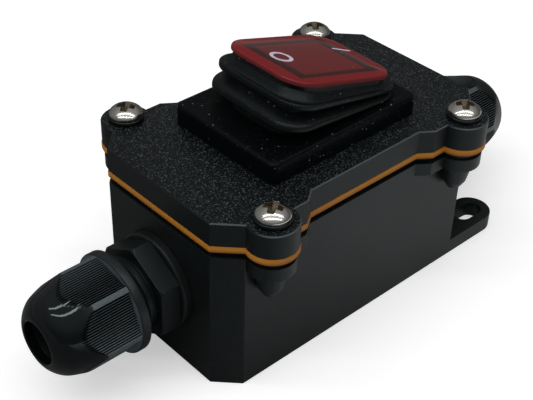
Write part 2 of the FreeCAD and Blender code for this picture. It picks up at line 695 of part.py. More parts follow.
def rocker_lever():
    """Actuator: a waisted frame for the cap on a hub with trunnions and two plunger barrels."""
    flare_top = FRAME_WAIST + FRAME_FLARE
    frame = rounded_block(FRAME_LENGTH, FRAME_WIDTH, FRAME_CORNER, flare_top, CAP_UNDERSIDE)
    waist = rounded_block(FRAME_WAIST_LENGTH, FRAME_WIDTH, FRAME_CORNER, FRAME_BOTTOM, FRAME_WAIST)
    low = rounded_wire(FRAME_WAIST_LENGTH, FRAME_WIDTH, FRAME_CORNER)
    low.translate(V(0, 0, FRAME_WAIST))
    high = rounded_wire(FRAME_LENGTH, FRAME_WIDTH, FRAME_CORNER)
    high.translate(V(0, 0, flare_top))
    flare = Part.makeLoft([low, high], True, True)
    hub_half = OPENING_WIDTH / 2 - BODY_GAP - BODY_WALL - HUB_GAP
    hub = rod_y(HUB_RADIUS, -hub_half, hub_half)
    web = block(HUB_LENGTH, FRAME_WIDTH, 0, FRAME_BOTTOM + BITE)
    pin_half = OPENING_WIDTH / 2 - BODY_GAP
    pins = rod_y(TRUNNION_RADIUS, -pin_half, pin_half)
    bore = PLUNGER_RADIUS + TRUNNION_RUNNING_GAP
    floor = FRAME_BOTTOM + FRAME_FLOOR
    barrels = [rod(bore + BARREL_WALL, -BARREL_END, floor, 0, y) for y in POLES.values()]
    solid = fused([frame, waist, flare, web, hub, pins] + barrels)
    inner_length = FRAME_WAIST_LENGTH - 2 * FRAME_WALL
    inner_width = FRAME_WIDTH - 2 * FRAME_WALL
    well = block(inner_length, inner_width, floor, flare_top)
    seat_bottom = CAP_UNDERSIDE - CAP_SKIRT_DEPTH - CAP_FIT
    seat = rounded_block(FRAME_LENGTH - 2 * FRAME_WALL, inner_width, CAP_SKIRT_CORNER,
                         seat_bottom, CAP_UNDERSIDE + PAST)
    solid = solid.cut(well).cut(seat)
    roof = FRAME_BOTTOM - BARREL_ROOF
    return solid.cut([rod(bore, -BARREL_END - PAST, roof, 0, y) for y in POLES.values()])


def plunger(y):
    """Round pin with a smaller rounded nose that bears on the contact saddle."""
    nose_centre = PLUNGER_NOSE - PLUNGER_REACH
    shoulder = nose_centre + PLUNGER_NOSE
    top = shoulder + PLUNGER_LENGTH
    outline = [V(0, 0, nose_centre - PLUNGER_NOSE)]
    for degrees in (30, 60, 90):
        turn = math.radians(degrees)
        outline.append(V(PLUNGER_NOSE * math.sin(turn), 0, nose_centre - PLUNGER_NOSE * math.cos(turn)))
    outline += [V(PLUNGER_RADIUS, 0, shoulder), V(PLUNGER_RADIUS, 0, top), V(0, 0, top)]
    pin = Part.Face(Part.makePolygon(outline + [outline[0]])).revolve(V(0, 0, 0), V(0, 0, 1), 360)
    pin.translate(V(0, y, 0))
    return pin


def plunger_spring(y):
    """Coil spring between the plunger and the blind end of its barrel."""
    start = PLUNGER_LENGTH + 2 * PLUNGER_NOSE - PLUNGER_REACH + SPRING_WIRE + SPRING_END_GAP
    end = FRAME_BOTTOM - BARREL_ROOF - SPRING_WIRE - SPRING_END_GAP
    helix = Part.makeHelix((end - start) / SPRING_TURNS, end - start, SPRING_RADIUS)
    wire = [V(SPRING_RADIUS + SPRING_WIRE, 0, 0), V(SPRING_RADIUS - SPRING_WIRE, 0, SPRING_WIRE),
            V(SPRING_RADIUS - SPRING_WIRE, 0, -SPRING_WIRE)]
    section = Part.makePolygon(wire + [wire[0]])
    spring = Part.Wire(helix.Edges).makePipeShell([section], True, True)
    spring.translate(V(0, y, start))
    return spring


def capsule(radius, length, y, z):
    """Glass or ceramic body with tapered ends, lying along X."""
    half = length / 2
    shoulder = half - radius / 2
    body = revolve_x([(-half, 0), (-half, radius / 2), (-shoulder, radius),
                      (shoulder, radius), (half, radius / 2), (half, 0)])
    body.translate(V(0, y, z))
    return body


def bent_lead(side, start, end, y, z, floor):
    """Wire that runs along X and turns down to the floor of the frame with a small bend."""
    corner = LEAD_BEND * math.sqrt(0.5)
    bend_start = V(side * (end - LEAD_BEND), y, z)
    bend_middle = V(side * (end - LEAD_BEND + corner), y, z - LEAD_BEND + corner)
    bend_end = V(side * end, y, z - LEAD_BEND)
    path = Part.Wire([
        Part.makeLine(V(side * start, y, z), bend_start),
        Part.Arc(bend_start, bend_middle, bend_end).toShape(),
        Part.makeLine(bend_end, V(side * end, y, floor)),
    ])
    corners = [(-LEAD_RADIUS, -LEAD_RADIUS), (LEAD_RADIUS, -LEAD_RADIUS),
               (LEAD_RADIUS, LEAD_RADIUS), (-LEAD_RADIUS, LEAD_RADIUS)]
    section = [V(side * start, y + u, z + w) for u, w in corners]
    return path.makePipeShell([Part.makePolygon(section + [section[0]])], True, False)


def with_leads(body, half_length, y, z, floor):
    """Add the lead wire at each end of a lamp or resistor."""
    reach = half_length + LEAD_REACH
    leads = [bent_lead(side, half_length - BITE, reach, y, z, floor) for side in (-1, 1)]
    return fused([body] + leads)


def neon_lamp():
    floor = FRAME_BOTTOM + FRAME_FLOOR
    z = floor + LAMP_RADIUS
    lamp = capsule(LAMP_RADIUS, LAMP_LENGTH, LAMP_Y, z)
    return with_leads(lamp, LAMP_LENGTH / 2, LAMP_Y, z, floor)


def lamp_resistor():
    floor = FRAME_BOTTOM + FRAME_FLOOR
    z = floor + RESISTOR_RADIUS
    resistor = capsule(RESISTOR_RADIUS, RESISTOR_LENGTH, RESISTOR_Y, z)
    return with_leads(resistor, RESISTOR_LENGTH / 2, RESISTOR_Y, z, floor)


# Switch body and contacts

BODY_LENGTH = OPENING_LENGTH - 2 * BODY_GAP
BODY_WIDTH = OPENING_WIDTH - 2 * BODY_GAP
BEZEL_LENGTH = OPENING_LENGTH + 2 * BEZEL_OVERLAP
BEZEL_WIDTH = OPENING_WIDTH + 2 * BEZEL_SIDE_OVERLAP
EAR_TOP = PIVOT_HEIGHT + PIVOT_EAR_RISE
BLADE_FOOT = BODY_BOTTOM - BLADE_LENGTH
LOAD_X = -RIVET_X


def switch_housing():
    """Body with its bezel, the ears that hold the trunnions, snap clips and blade slots."""
    shell = rounded_block(BODY_LENGTH, BODY_WIDTH, BODY_CORNER, BODY_BOTTOM, LID_TOP)
    bezel = rounded_block(BEZEL_LENGTH, BEZEL_WIDTH, BEZEL_CORNER, LID_TOP, LID_TOP + BEZEL_THICK)
    ears = block(PIVOT_EAR_LENGTH, BODY_WIDTH, LID_TOP, EAR_TOP)
    clips = []
    side = -CLIP_WIDTH / 2
    clip_top = LID_UNDERSIDE - CLIP_GAP
    clip_foot = clip_top - CLIP_HEIGHT
    for s in (-1, 1):
        face = s * BODY_LENGTH / 2
        root = face - s * BODY_WALL
        tip = s * (OPENING_LENGTH / 2 + CLIP_BITE)
        points = [V(root, side, clip_top), V(tip, side, clip_top),
                  V(face, side, clip_foot), V(root, side, clip_foot)]
        clips.append(flat_prism(points, V(0, CLIP_WIDTH, 0)))
    solid = fused([shell, bezel, ears] + clips)
    cavity = rounded_block(BODY_LENGTH - 2 * BODY_WALL, BODY_WIDTH - 2 * BODY_WALL, BODY_CORNER,
                           FLOOR_TOP, EAR_TOP + PAST)
    pivot_bore = rod_y(TRUNNION_RADIUS + TRUNNION_RUNNING_GAP, -BODY_WIDTH, BODY_WIDTH,
                       0, PIVOT_HEIGHT)
    slots = []
    stops = []
    wing = FULCRUM_HEIGHT + CONTACT_SADDLE - RIVET_X * math.sin(math.radians(CONTACT_ANGLE))
    for y in POLES.values():
        for x in (0.0, LOAD_X):
            slots.append(block(BLADE_THICK + 2 * BLADE_FIT, BLADE_WIDTH + 2 * BLADE_FIT,
                               BODY_BOTTOM - PAST, FLOOR_TOP + PAST, x, y))
        stops.append(block(STOP_LENGTH, CONTACT_WIDTH, FLOOR_TOP - BITE, wing - STOP_GAP, RIVET_X, y))
    return fused([solid.cut(cavity).cut(pivot_bore).cut(slots)] + stops)


def blade(x, y, top):
    """Quick-connect blade with chamfered corners and a locking hole."""
    half = BLADE_WIDTH / 2
    tip = half - BLADE_CORNER
    neck = BLADE_FOOT + BLADE_CORNER
    outline = [(-half, top), (-half, neck), (-tip, BLADE_FOOT), (tip, BLADE_FOOT),
               (half, neck), (half, top)]
    points = [V(x - BLADE_THICK / 2, y + b, c) for b, c in outline]
    plate = flat_prism(points, V(BLADE_THICK, 0, 0))
    hole_z = BLADE_FOOT + BLADE_LENGTH / 2
    return plate.cut(rod_x(BLADE_HOLE_RADIUS, x - BLADE_THICK, x + BLADE_THICK, y, hole_z))


def line_terminal(y):
    """Centre blade whose rounded top edge is the fulcrum of the see-saw contact."""
    plate = blade(0.0, y, FULCRUM_HEIGHT)
    edge = rod_y(FULCRUM_RADIUS, y - BLADE_WIDTH / 2, y + BLADE_WIDTH / 2, 0, FULCRUM_HEIGHT)
    return fused([plate, edge])


def load_terminal(y):
    """End blade with a bent foot that carries the fixed contact button."""
    tilt = math.radians(CONTACT_ANGLE)
    face_drop = RIVET_X * math.sin(tilt) - (contact_wing_bottom() - RIVET_THICK) * math.cos(tilt)
    contact_top = FULCRUM_HEIGHT - face_drop - CONTACT_GAP - RIVET_RADIUS * math.sin(tilt)
    foot_top = contact_top - RIVET_THICK
    plate = blade(LOAD_X, y, foot_top)
    foot = block(TERMINAL_FOOT, BLADE_WIDTH, foot_top - BLADE_THICK, foot_top, LOAD_X, y)
    button = rod(RIVET_RADIUS, foot_top - BITE, contact_top, LOAD_X, y)
    return fused([plate, foot, button])


def contact_wing_bottom():
    centre = CONTACT_SADDLE + CONTACT_DISH_RADIUS
    rise = centre - math.sqrt(CONTACT_DISH_RADIUS**2 - CONTACT_DISH_HALF**2)
    return rise - CONTACT_THICK


def contact_lever(y):
    """Boat shaped see-saw contact: a dished saddle with a flat wing at each end."""
    half = CONTACT_DISH_HALF
    wing_bottom = contact_wing_bottom()
    wing_top = wing_bottom + CONTACT_THICK

    def at(x, z):
        return V(x, -CONTACT_WIDTH / 2, z)

    inner = Part.Arc(at(-half, wing_top), at(0, CONTACT_SADDLE), at(half, wing_top)).toShape()
    outer_half = half + CONTACT_THICK / 2
    under = Part.Arc(at(outer_half, wing_bottom), at(0, 0.0), at(-outer_half, wing_bottom)).toShape()
    corners = [at(half, wing_top), at(CONTACT_HALF, wing_top), at(CONTACT_HALF, wing_bottom),
               at(outer_half, wing_bottom)]
    right = Part.makePolygon(corners).Edges
    left = Part.makePolygon([V(-p.x, p.y, p.z) for p in reversed(corners)]).Edges
    face = Part.Face(Part.Wire([inner] + right + [under] + left))
    lever = face.extrude(V(0, CONTACT_WIDTH, 0))
    lever = lever.cut(rod_y(FULCRUM_RADIUS + CONTACT_GAP, -CONTACT_WIDTH, CONTACT_WIDTH))
    rivet = rod(RIVET_RADIUS, wing_bottom - RIVET_THICK, wing_bottom + BITE, -RIVET_X, 0)
    lever = fused([lever, rivet])
    lever.rotate(V(0, 0, 0), V(0, 1, 0), -CONTACT_ANGLE)
    lever.translate(V(0, y, FULCRUM_HEIGHT))
    return lever


# Silicone boot: foot, two bellows lips and a top plate round the actuator frame

def station(level, inset):
    """Tilted rounded rectangle through the boot at one level of the bellows."""
    low_end, high_end, centre_x, extra_length, extra_width = level
    half_length = CAP_LENGTH / 2 + extra_length
    half_width = CAP_WIDTH / 2 + extra_width
    wire = rounded_wire(2 * (half_length - inset), 2 * (half_width - inset), BELLOWS_CORNER - inset)
    tilt = math.degrees(math.asin((low_end - high_end) / (2 * half_length)))
    height = FOOT_TOP + (low_end + high_end) / 2
    wire.Placement = Placement(V(centre_x, 0, height), Rotation(V(0, 1, 0), tilt))
    return wire


def boot_top(level, inset):
    """Rounded rectangle under the cap, across the tilted rocker at a level above its pivot."""
    length = CAP_LENGTH - 2 * (BOOT_TOP_INSET + inset)
    width = CAP_WIDTH - 2 * (BOOT_TOP_SIDE_INSET + inset)
    wire = rounded_wire(length, width, BOOT_TOP_CORNER - inset)
    wire.translate(V(0, 0, level))
    wire.Placement = ROCKER.multiply(wire.Placement)
    return wire


def lofts(sections):
    return [Part.makeLoft(list(pair), True, True) for pair in zip(sections, sections[1:])]


def rubber_boot():
    """Foot over the bezel, two bellows lips and a top plate round the actuator frame."""
    room_length = BEZEL_LENGTH + 2 * BOOT_GAP
    room_width = BEZEL_WIDTH + 2 * BOOT_GAP
    foot = rounded_block(room_length + 2 * BOOT_FOOT_WALL, room_width + 2 * BOOT_FOOT_SIDE_WALL,
                         BOOT_FOOT_CORNER, LID_TOP, FOOT_TOP)
    rims = [e for e in foot.Edges if abs(e.BoundBox.ZMin - FOOT_TOP) < 1e-6]
    foot = foot.makeChamfer(BOOT_FOOT_CHAMFER, rims)
    outer = [station(level, 0.0) for level in BELLOWS] + [boot_top(BOOT_TOP, 0.0)]
    inner = [station(level, BOOT_WALL) for level in BELLOWS]
    inner.append(boot_top(BOOT_TOP - BOOT_TOP_PLATE, BOOT_WALL))
    skin = fused([foot] + lofts(outer))
    for hollow in lofts(inner):
        skin = skin.cut(hollow)
    skin = skin.cut(rounded_block(room_length, room_width, BEZEL_CORNER + BOOT_GAP,
                                  LID_TOP - PAST, LID_TOP + BEZEL_THICK + BOOT_GAP))
    neck_top = FOOT_TOP + BELLOWS[0][0]
    neck_length = CAP_LENGTH + 2 * (BELLOWS[0][3] - BOOT_WALL)
    neck_width = CAP_WIDTH + 2 * (BELLOWS[0][4] - BOOT_WALL)
    ear_width = BODY_WIDTH + 2 * BOOT_GAP
    skin = skin.cut(rounded_block(neck_length, ear_width, FRAME_CORNER, LID_TOP, EAR_TOP + BOOT_GAP))
    skin = skin.cut(rounded_block(neck_length, neck_width, FRAME_CORNER, LID_TOP, neck_top + BITE))
    passage = rounded_block(FRAME_LENGTH + 2 * BOOT_GAP, FRAME_WIDTH + 2 * BOOT_GAP,
                            FRAME_CORNER + BOOT_GAP, BOOT_TOP - BOOT_TOP_PLATE - PAST, BOOT_TOP + PAST)
    return skin.cut(tilted(passage))


def tilted(shape):
    shape.Placement = ROCKER.multiply(shape.Placement)
    return shape


def build_all():
    parts = {
        "base_housing": base_housing(),
        "lid_gasket": lid_gasket(),
        "lid": lid(),
        "lid_screws": lid_screws(),
        "screw_washers": screw_washers(),
        "switch_housing": switch_housing(),
        "rubber_boot": rubber_boot(),
        "rocker_cap": tilted(rocker_cap()),
        "rocker_lever": tilted(rocker_lever()),
        "neon_lamp": tilted(neon_lamp()),
        "lamp_resistor": tilted(lamp_resistor()),
    }
    gland = {
        "gland_body": gland_body(),
        "gland_nut": gland_nut(),
        "gland_seal": gland_seal(),
        "gland_washer": gland_washer(),
        "gland_locknut": gland_locknut(),
    }
    for side in ("left", "right"):
        for name, shape in gland.items():
            parts[f"{name}_{side}"] = place_gland(shape, side)
    for pole, y in POLES.items():
        parts[f"plunger_{pole}"] = tilted(plunger(y))
        parts[f"plunger_spring_{pole}"] = tilted(plunger_spring(y))
        parts[f"contact_lever_{pole}"] = contact_lever(y)
        parts[f"line_terminal_{pole}"] = line_terminal(y)
        parts[f"load_terminal_{pole}"] = load_terminal(y)
    return parts


os.makedirs("parts", exist_ok=True)
for node, shape in build_all().items():
    shape.exportStep(f"parts/{node}.step")
    print(node, shape.isValid(), len(shape.Solids), round(shape.Volume, 1))
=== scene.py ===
import math

import bmesh
import bpy
from mathutils import Matrix, Vector


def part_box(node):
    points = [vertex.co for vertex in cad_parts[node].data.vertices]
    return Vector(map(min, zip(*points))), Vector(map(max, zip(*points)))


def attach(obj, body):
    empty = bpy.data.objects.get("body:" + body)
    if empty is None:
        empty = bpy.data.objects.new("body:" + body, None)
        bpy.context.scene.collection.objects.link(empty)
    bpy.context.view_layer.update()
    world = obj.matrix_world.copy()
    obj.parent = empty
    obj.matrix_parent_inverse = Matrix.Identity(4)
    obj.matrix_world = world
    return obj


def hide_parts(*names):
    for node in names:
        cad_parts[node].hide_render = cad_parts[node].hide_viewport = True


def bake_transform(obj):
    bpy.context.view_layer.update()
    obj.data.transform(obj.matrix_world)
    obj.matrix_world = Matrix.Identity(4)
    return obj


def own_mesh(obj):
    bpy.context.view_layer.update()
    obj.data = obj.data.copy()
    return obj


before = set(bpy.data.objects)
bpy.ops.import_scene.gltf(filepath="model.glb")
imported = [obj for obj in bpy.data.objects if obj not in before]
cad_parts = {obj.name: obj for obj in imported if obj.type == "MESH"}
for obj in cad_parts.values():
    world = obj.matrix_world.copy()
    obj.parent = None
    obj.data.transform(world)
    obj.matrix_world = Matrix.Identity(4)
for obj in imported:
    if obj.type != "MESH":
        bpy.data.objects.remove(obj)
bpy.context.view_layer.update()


# Base housing
# The lower half of the box, injection moulded in black ABS with a lightly spark-eroded skin.
# Its screw posts, collars and the two diagonal mounting lugs are one moulding with the walls.

MM = 0.001
MOULDED_EDGE = 0.22 * MM
WELD = 0.001 * MM
FLAT_WITHIN = math.radians(1)
EDGE_BEYOND = math.radians(30)
SMOOTH_UP_TO = 35
COOL_SHEEN = (0.84, 0.97, 1.0, 1)


def fed(tree, node, inputs):
    """The node, with each input linked to the socket that feeds it or set to its value."""
    for label, value in inputs.items():
        if isinstance(value, bpy.types.NodeSocket):
            tree.links.new(value, node.inputs[label])
        else:
            node.inputs[label].default_value = value
    return node


def add(tree, kind, inputs=None, **settings):
    """A shader node with its settings and its inputs."""
    node = tree.nodes.new("ShaderNode" + kind)
    for label, value in settings.items():
        setattr(node, label, value)
    return fed(tree, node, inputs or {})


def maths(tree, operation, *numbers, **settings):
    """A number worked out from one or two others."""
    return add(tree, "Math", dict(enumerate(numbers)), operation=operation, **settings).outputs[0]


def ramp(tree, value, low, high, start=0.0, end=1.0, **settings):
    """A number that runs from start to end while the value runs from low to high."""
    inputs = {"Value": value, "From Min": low, "From Max": high, "To Min": start, "To Max": end}
    return add(tree, "MapRange", inputs, **settings).outputs["Result"]


def mixed(tree, factor, a, b, kind="RGBA", **settings):
    """A colour between two, or a number with kind FLOAT. Colours are given without alpha."""
    a, b = [(*v, 1) if isinstance(v, tuple) else v for v in (a, b)]
    inputs = {"Factor": factor, "A": a, "B": b}
    return add(tree, "Mix", inputs, data_type=kind, **settings).outputs["Result"]


def bumped(tree, height, depth, strength=1.0):
    """A surface normal that follows a height."""
    inputs = {"Height": height, "Distance": depth, "Strength": strength}
    return add(tree, "Bump", inputs).outputs["Normal"]


def surface_group(name, inputs, outputs):
    """An empty shader node group, its inputs by name, and the node that takes its outputs."""
    group = bpy.data.node_groups.new(name, "ShaderNodeTree")
    for label, value in inputs.items():
        socket = group.interface.new_socket(label, in_out="INPUT", socket_type="NodeSocketFloat")
        socket.default_value = value
    for label in outputs:
        group.interface.new_socket(label, in_out="OUTPUT", socket_type="NodeSocketFloat")
    return group, group.nodes.new("NodeGroupInput").outputs, group.nodes.new("NodeGroupOutput")


def placed(tree, group, **values):
    """The outputs of a node group in a material's tree, with this material's own values."""
    node = tree.nodes.new("ShaderNodeGroup")
    node.node_tree = group
    for label, value in values.items():
        node.inputs[label.capitalize()].default_value = value
    return node.outputs


def stepped(group, size):
    """The place on the object, counted in steps of a size in millimetres."""
    where = add(group, "TexCoord").outputs["Object"]
    inputs = {0: where, "Scale": maths(group, "DIVIDE", 1.0 / MM, size)}
    return add(group, "VectorMath", inputs, operation="SCALE").outputs[0]


def grain_group():
    """Pitted skin of a spark-eroded mould: its height, a tone for high spots and soft clouds."""
    group, given, result = surface_group("moulding_grain", {"Size": 0.4},
                                         ["Height", "Tone", "Cloud"])
    spread = stepped(group, given["Size"])
    fine = add(group, "TexNoise", {"Vector": spread, "Scale": 1.0, "Detail": 3.0,
                                   "Roughness": 0.65})
    pits = add(group, "TexVoronoi", {"Vector": spread, "Scale": 0.8}, feature="SMOOTH_F1")
    height = maths(group, "MULTIPLY", fine.outputs["Fac"], pits.outputs["Distance"])
    where = add(group, "TexCoord").outputs["Object"]
    cloud = add(group, "TexNoise", {"Vector": where, "Scale": 90.0})
    fed(group, result, {
        "Height": height,
        "Tone": ramp(group, height, 0.16, 0.42, interpolation_type="SMOOTHSTEP"),
        "Cloud": cloud.outputs["Fac"]})
    return group


grain = grain_group()


def blank_material(name, metal=0.0, specular=0.5):
    """A new material and its node tree."""
    material = bpy.data.materials.new(name)
    material.use_nodes = True
    settings = {"Metallic": metal, "Specular IOR Level": specular}
    if not metal:
        settings["Specular Tint"] = COOL_SHEEN
    return coated(material, settings), material.node_tree


def coated(material, inputs):
    """The material, with these inputs of its surface set or linked."""
    fed(material.node_tree, material.node_tree.nodes["Principled BSDF"], inputs)
    return material


def moulded_plastic(name, dark, light, rough, specular, size, depth):
    """Moulded plastic whose skin is grained: colour, roughness and relief follow the grain."""
    material, tree = blank_material(name, specular=specular)
    skin = placed(tree, grain, size=size)
    return coated(material, {
        "Base Color": mixed(tree, skin["Tone"], dark, light),
        "Roughness": ramp(tree, skin["Cloud"], 0.0, 1.0, *rough),
        "Normal": bumped(tree, skin["Height"], depth * MM)})


def in_scene(name, data):
    """A new object of the scene."""
    thing = bpy.data.objects.new(name, data)
    bpy.context.scene.collection.objects.link(thing)
    return thing


def as_mesh(name, work):
    """A mesh made from a bmesh, which is used up."""
    mesh = bpy.data.meshes.new(name)
    work.to_mesh(mesh)
    work.free()
    return mesh


def mesh_object(name, mesh, material, sharp=SMOOTH_UP_TO):
    """An object with its material, shaded smooth up to an angle in degrees."""
    piece = in_scene(name, mesh)
    mesh.shade_smooth()
    mesh.set_sharp_from_angle(angle=math.radians(sharp))
    mesh.materials.append(material)
    return piece


def built(name, work, material, sharp=SMOOTH_UP_TO):
    """An object made from a bmesh, which is used up."""
    return mesh_object(name, as_mesh(name, work), material, sharp)


def softened(node, name, material, edge):
    """The node's own shape with its flat faces cleaned and its outer edges rounded."""
    work = bmesh.new()
    work.from_mesh(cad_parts[node].data)
    bmesh.ops.remove_doubles(work, verts=work.verts, dist=WELD)
    bmesh.ops.dissolve_limit(work, angle_limit=FLAT_WITHIN, verts=work.verts, edges=work.edges)
    outer = [e for e in work.edges
             if e.is_manifold and e.is_convex and e.calc_face_angle() > EDGE_BEYOND]
    bmesh.ops.bevel(work, geom=outer, offset=edge, offset_type="OFFSET", segments=2, profile=0.5,
                    affect="EDGES", clamp_overlap=False)
    plane = work.faces.layers.float_vector.new("plane")
    for face in work.faces:
        face[plane] = face.normal * (face.calc_area() / MM**2)
    bmesh.ops.triangulate(work, faces=[f for f in work.faces if len(f.verts) > 4],
                          quad_method="BEAUTY", ngon_method="BEAUTY")
    normals = []
    limit = math.cos(math.radians(SMOOTH_UP_TO))
    for face in work.faces:
        own = Vector(face[plane]).normalized()
        for corner in face.loops:
            total = Vector((0, 0, 0))
            for near in corner.vert.link_faces:
                flat = Vector(near[plane])
                if flat.normalized().dot(own) > limit:
                    total += flat * flat.length
            normals.append(total.normalized() if total.length else own)
    piece = built(name, work, material)
    piece.data.normals_split_custom_set(normals)
    return piece


def seated(piece, body, slot, *nodes):
    """Ride on a body and stand for the nodes, which are hidden; the slot is not used."""
    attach(piece, body)
    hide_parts(*nodes)


base_plastic = moulded_plastic("base_plastic", (0.0040, 0.0052, 0.0054), (0.0068, 0.0084, 0.0086),
                               (0.34, 0.44), 0.32, 0.5, 0.02)
base = softened("base_housing", "base_moulding", base_plastic, MOULDED_EDGE)
seated(base, "root", "box_plastic", "base_housing")


# Lid gasket
# A soft orange silicone ring punched to the plan of the lid, with a rounded bead on its outer edge.
# The screws squeeze it, so it stands slightly proud of the box and catches the light; that light is
# painted on the bead as a painted highlight, and its lower part is painted darker as shade.

GASKET_EDGE = 0.38 * MM


def component(tree, vector, axis):
    """One of a vector's three numbers."""
    return add(tree, "SeparateXYZ", {0: vector}).outputs[axis]


def colour_band(tree, place, stops):
    """A colour ramp through stops of (position, colour)."""
    node = add(tree, "ValToRGB", {"Fac": place})
    elements = node.color_ramp.elements
    for element, (position, colour) in zip(elements, (stops[0], stops[-1])):
        element.position, element.color = position, (*colour, 1)
    for position, colour in stops[1:-1]:
        elements.new(position).color = (*colour, 1)
    return node.outputs["Color"]


def gasket_rubber():
    """Orange silicone, painted darker towards its bottom as shade and lighter round its bead as a
    painted highlight, with a few darker stains.
    """
    material, tree = blank_material("gasket_silicone", specular=0.2)
    low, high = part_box("lid_gasket")
    height = component(tree, add(tree, "TexCoord").outputs["Object"], "Z")
    # Colour band by height: painted shade towards the bottom, a painted highlight on the bead where
    # it catches the light.
    orange_with_painted_light = colour_band(tree, ramp(tree, height, low.z, high.z), (
        (0.0, (0.16, 0.052, 0.004)), (0.3, (0.27, 0.095, 0.006)),
        (0.62, (0.40, 0.155, 0.013)), (1.0, (0.34, 0.135, 0.014))))
    skin = placed(tree, grain, size=0.9)
    stain = ramp(tree, skin["Cloud"], 0.45, 0.8, 0.0, 0.35)
    return coated(material, {
        "Base Color": mixed(tree, stain, orange_with_painted_light, (0.16, 0.05, 0.01)),
        "Roughness": 0.55,
        "Normal": bumped(tree, skin["Height"], 0.02 * MM, 0.5)})


gasket = softened("lid_gasket", "gasket_ring", gasket_rubber(), GASKET_EDGE)
seated(gasket, "root", "orange_silicone", "lid_gasket")


# Lid
# The moulded cover. Its top face has a coarse spark-eroded grain with painted glints, a few grain
# cells painted pale as facets catching the light, while the narrow sides are a plain satin. A
# painted highlight runs along its -Y top edge. Four screws pull it down on the gasket.

LID_EDGE = 0.065 * MM


def scattered(group, size):
    """Random cells of a size: how far each place is from its cell's middle, and a chance a cell."""
    cell = add(group, "TexVoronoi", {"Vector": stepped(group, size), "Scale": 1.0})
    chance = add(group, "SeparateColor", {0: cell.outputs["Color"]}).outputs[0]
    return cell.outputs["Distance"], chance


def painted_glint_group():
    """Painted glints: here and there a cell of the coarse eroded skin is painted pale, as a facet
    that catches the light.
    """
    group, given, result = surface_group("painted_grain_glints", {"Size": 0.4}, ["Spark"])
    distance, chance = scattered(group, given["Size"])
    core = ramp(group, distance, 0.15, 0.6, 1.0, 0.0)
    rare = maths(group, "POWER", chance, 3.0)
    fed(group, result, {"Spark": maths(group, "MULTIPLY", rare, core)})
    return group


painted_glints = painted_glint_group()


def lid_plastic():
    """The lid's plastic: grained with painted glints where it faces up, satin on its sides, with a
    painted highlight along its -Y edge.
    """
    material, tree = blank_material("lid_plastic", specular=0.25)
    coarse = placed(tree, grain, size=0.34)
    fine = placed(tree, grain, size=0.3)
    facing = add(tree, "TexCoord").outputs["Normal"]
    upwards = component(tree, facing, "Z")
    top = ramp(tree, upwards, 0.9, 0.98)
    height = mixed(tree, top, fine["Height"], coarse["Height"], "FLOAT")
    depth = ramp(tree, top, 0.0, 1.0, 0.012, 0.22)
    speck = mixed(tree, coarse["Tone"], (0.0008, 0.0012, 0.0014), (0.005, 0.0065, 0.0075))
    # Painted glints: a few grain cells of the top are painted pale as highlights.
    spark = placed(tree, painted_glints, size=0.36)["Spark"]
    lit = mixed(tree, spark, speck, (0.105, 0.125, 0.135))
    colour = mixed(tree, top, (0.0055, 0.0068, 0.0070), lit)
    # Painted highlight: the rounded top edge on the -Y side is painted paler, where it catches the
    # light.
    edge = maths(tree, "MULTIPLY", ramp(tree, upwards, 0.35, 0.6),
                 ramp(tree, upwards, 0.8, 0.95, 1.0, 0.0))
    edge = maths(tree, "MULTIPLY", edge, ramp(tree, component(tree, facing, "Y"), -0.1, -0.5))
    return coated(material, {
        "Base Color": mixed(tree, edge, colour, (0.06, 0.07, 0.073)),
        "Roughness": mixed(tree, top, 0.42, 0.34, "FLOAT"),
        "Normal": bumped(tree, maths(tree, "MULTIPLY", height, depth), MM)})


lid = softened("lid", "lid_moulding", lid_plastic(), LID_EDGE)
seated(lid, "root", "lid_plastic", "lid")


# Sealing washers
# Black rubber rings, pressed round at the rim, that seal the screw holes under the heads.

WASHER_RADIUS = 4.2 * MM
WASHER_HOLE = 2.0 * MM
WASHER_ROUND = 0.42 * MM
TURN_STEPS = 64


def quads(work, rows, around=True, back=False):
    """Faces between neighbouring rows of vertices: round each row, and back to the first row."""
    count = len(rows[0])
    for low, high in zip(rows, rows[1:] + rows[:1] if back else rows[1:]):
        for n in range(count if around else count - 1):
            m = (n + 1) % count
            work.faces.new((low[n], low[m], high[m], high[n]))


def spun(turns, outlines, axis_x=False, closed=True, weld=WELD):
    """A mesh through outlines of (distance along, radius) that stand at angles round an axis."""
    work = bmesh.new()
    rows = []
    for turn, outline in zip(turns, outlines):
        row = []
        for distance, radius in outline:
            u, v = radius * math.cos(turn), radius * math.sin(turn)
            row.append(work.verts.new((distance, u, v) if axis_x else (u, v, distance)))
        rows.append(row)
    quads(work, rows, around=closed, back=True)
    bmesh.ops.remove_doubles(work, verts=work.verts, dist=weld)
    bmesh.ops.recalc_face_normals(work, faces=work.faces)
    return work


def turned(outline, closed=False):
    """A mesh with the same outline all round the Z axis."""
    turns = [2 * math.pi * n / TURN_STEPS for n in range(TURN_STEPS)]
    return spun(turns, [outline] * TURN_STEPS, closed=closed)


def quarter(centre_along, centre_radius, size, start, end, steps=4):
    """Points of a round edge in (distance along, radius), angles in degrees from the axis."""
    points = []
    for n in range(steps + 1):
        turn = math.radians(start + (end - start) * n / steps)
        points.append((centre_along + size * math.cos(turn), centre_radius + size * math.sin(turn)))
    return points


def soft_rubber(name, colour, rough):
    return moulded_plastic(name, colour, tuple(1.5 * c for c in colour),
                           (rough - 0.06, rough + 0.06), 0.35, 0.5, 0.015)


washer_low, washer_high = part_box("screw_washers")
lid_top = washer_low.z
head_seat = washer_high.z
boss_x = washer_high.x - WASHER_RADIUS
boss_y = washer_high.y - WASHER_RADIUS
bosses = [(sx * boss_x, sy * boss_y) for sx in (-1, 1) for sy in (-1, 1)]
washer_rubber = soft_rubber("washer_rubber", (0.0022, 0.0024, 0.0026), 0.3)


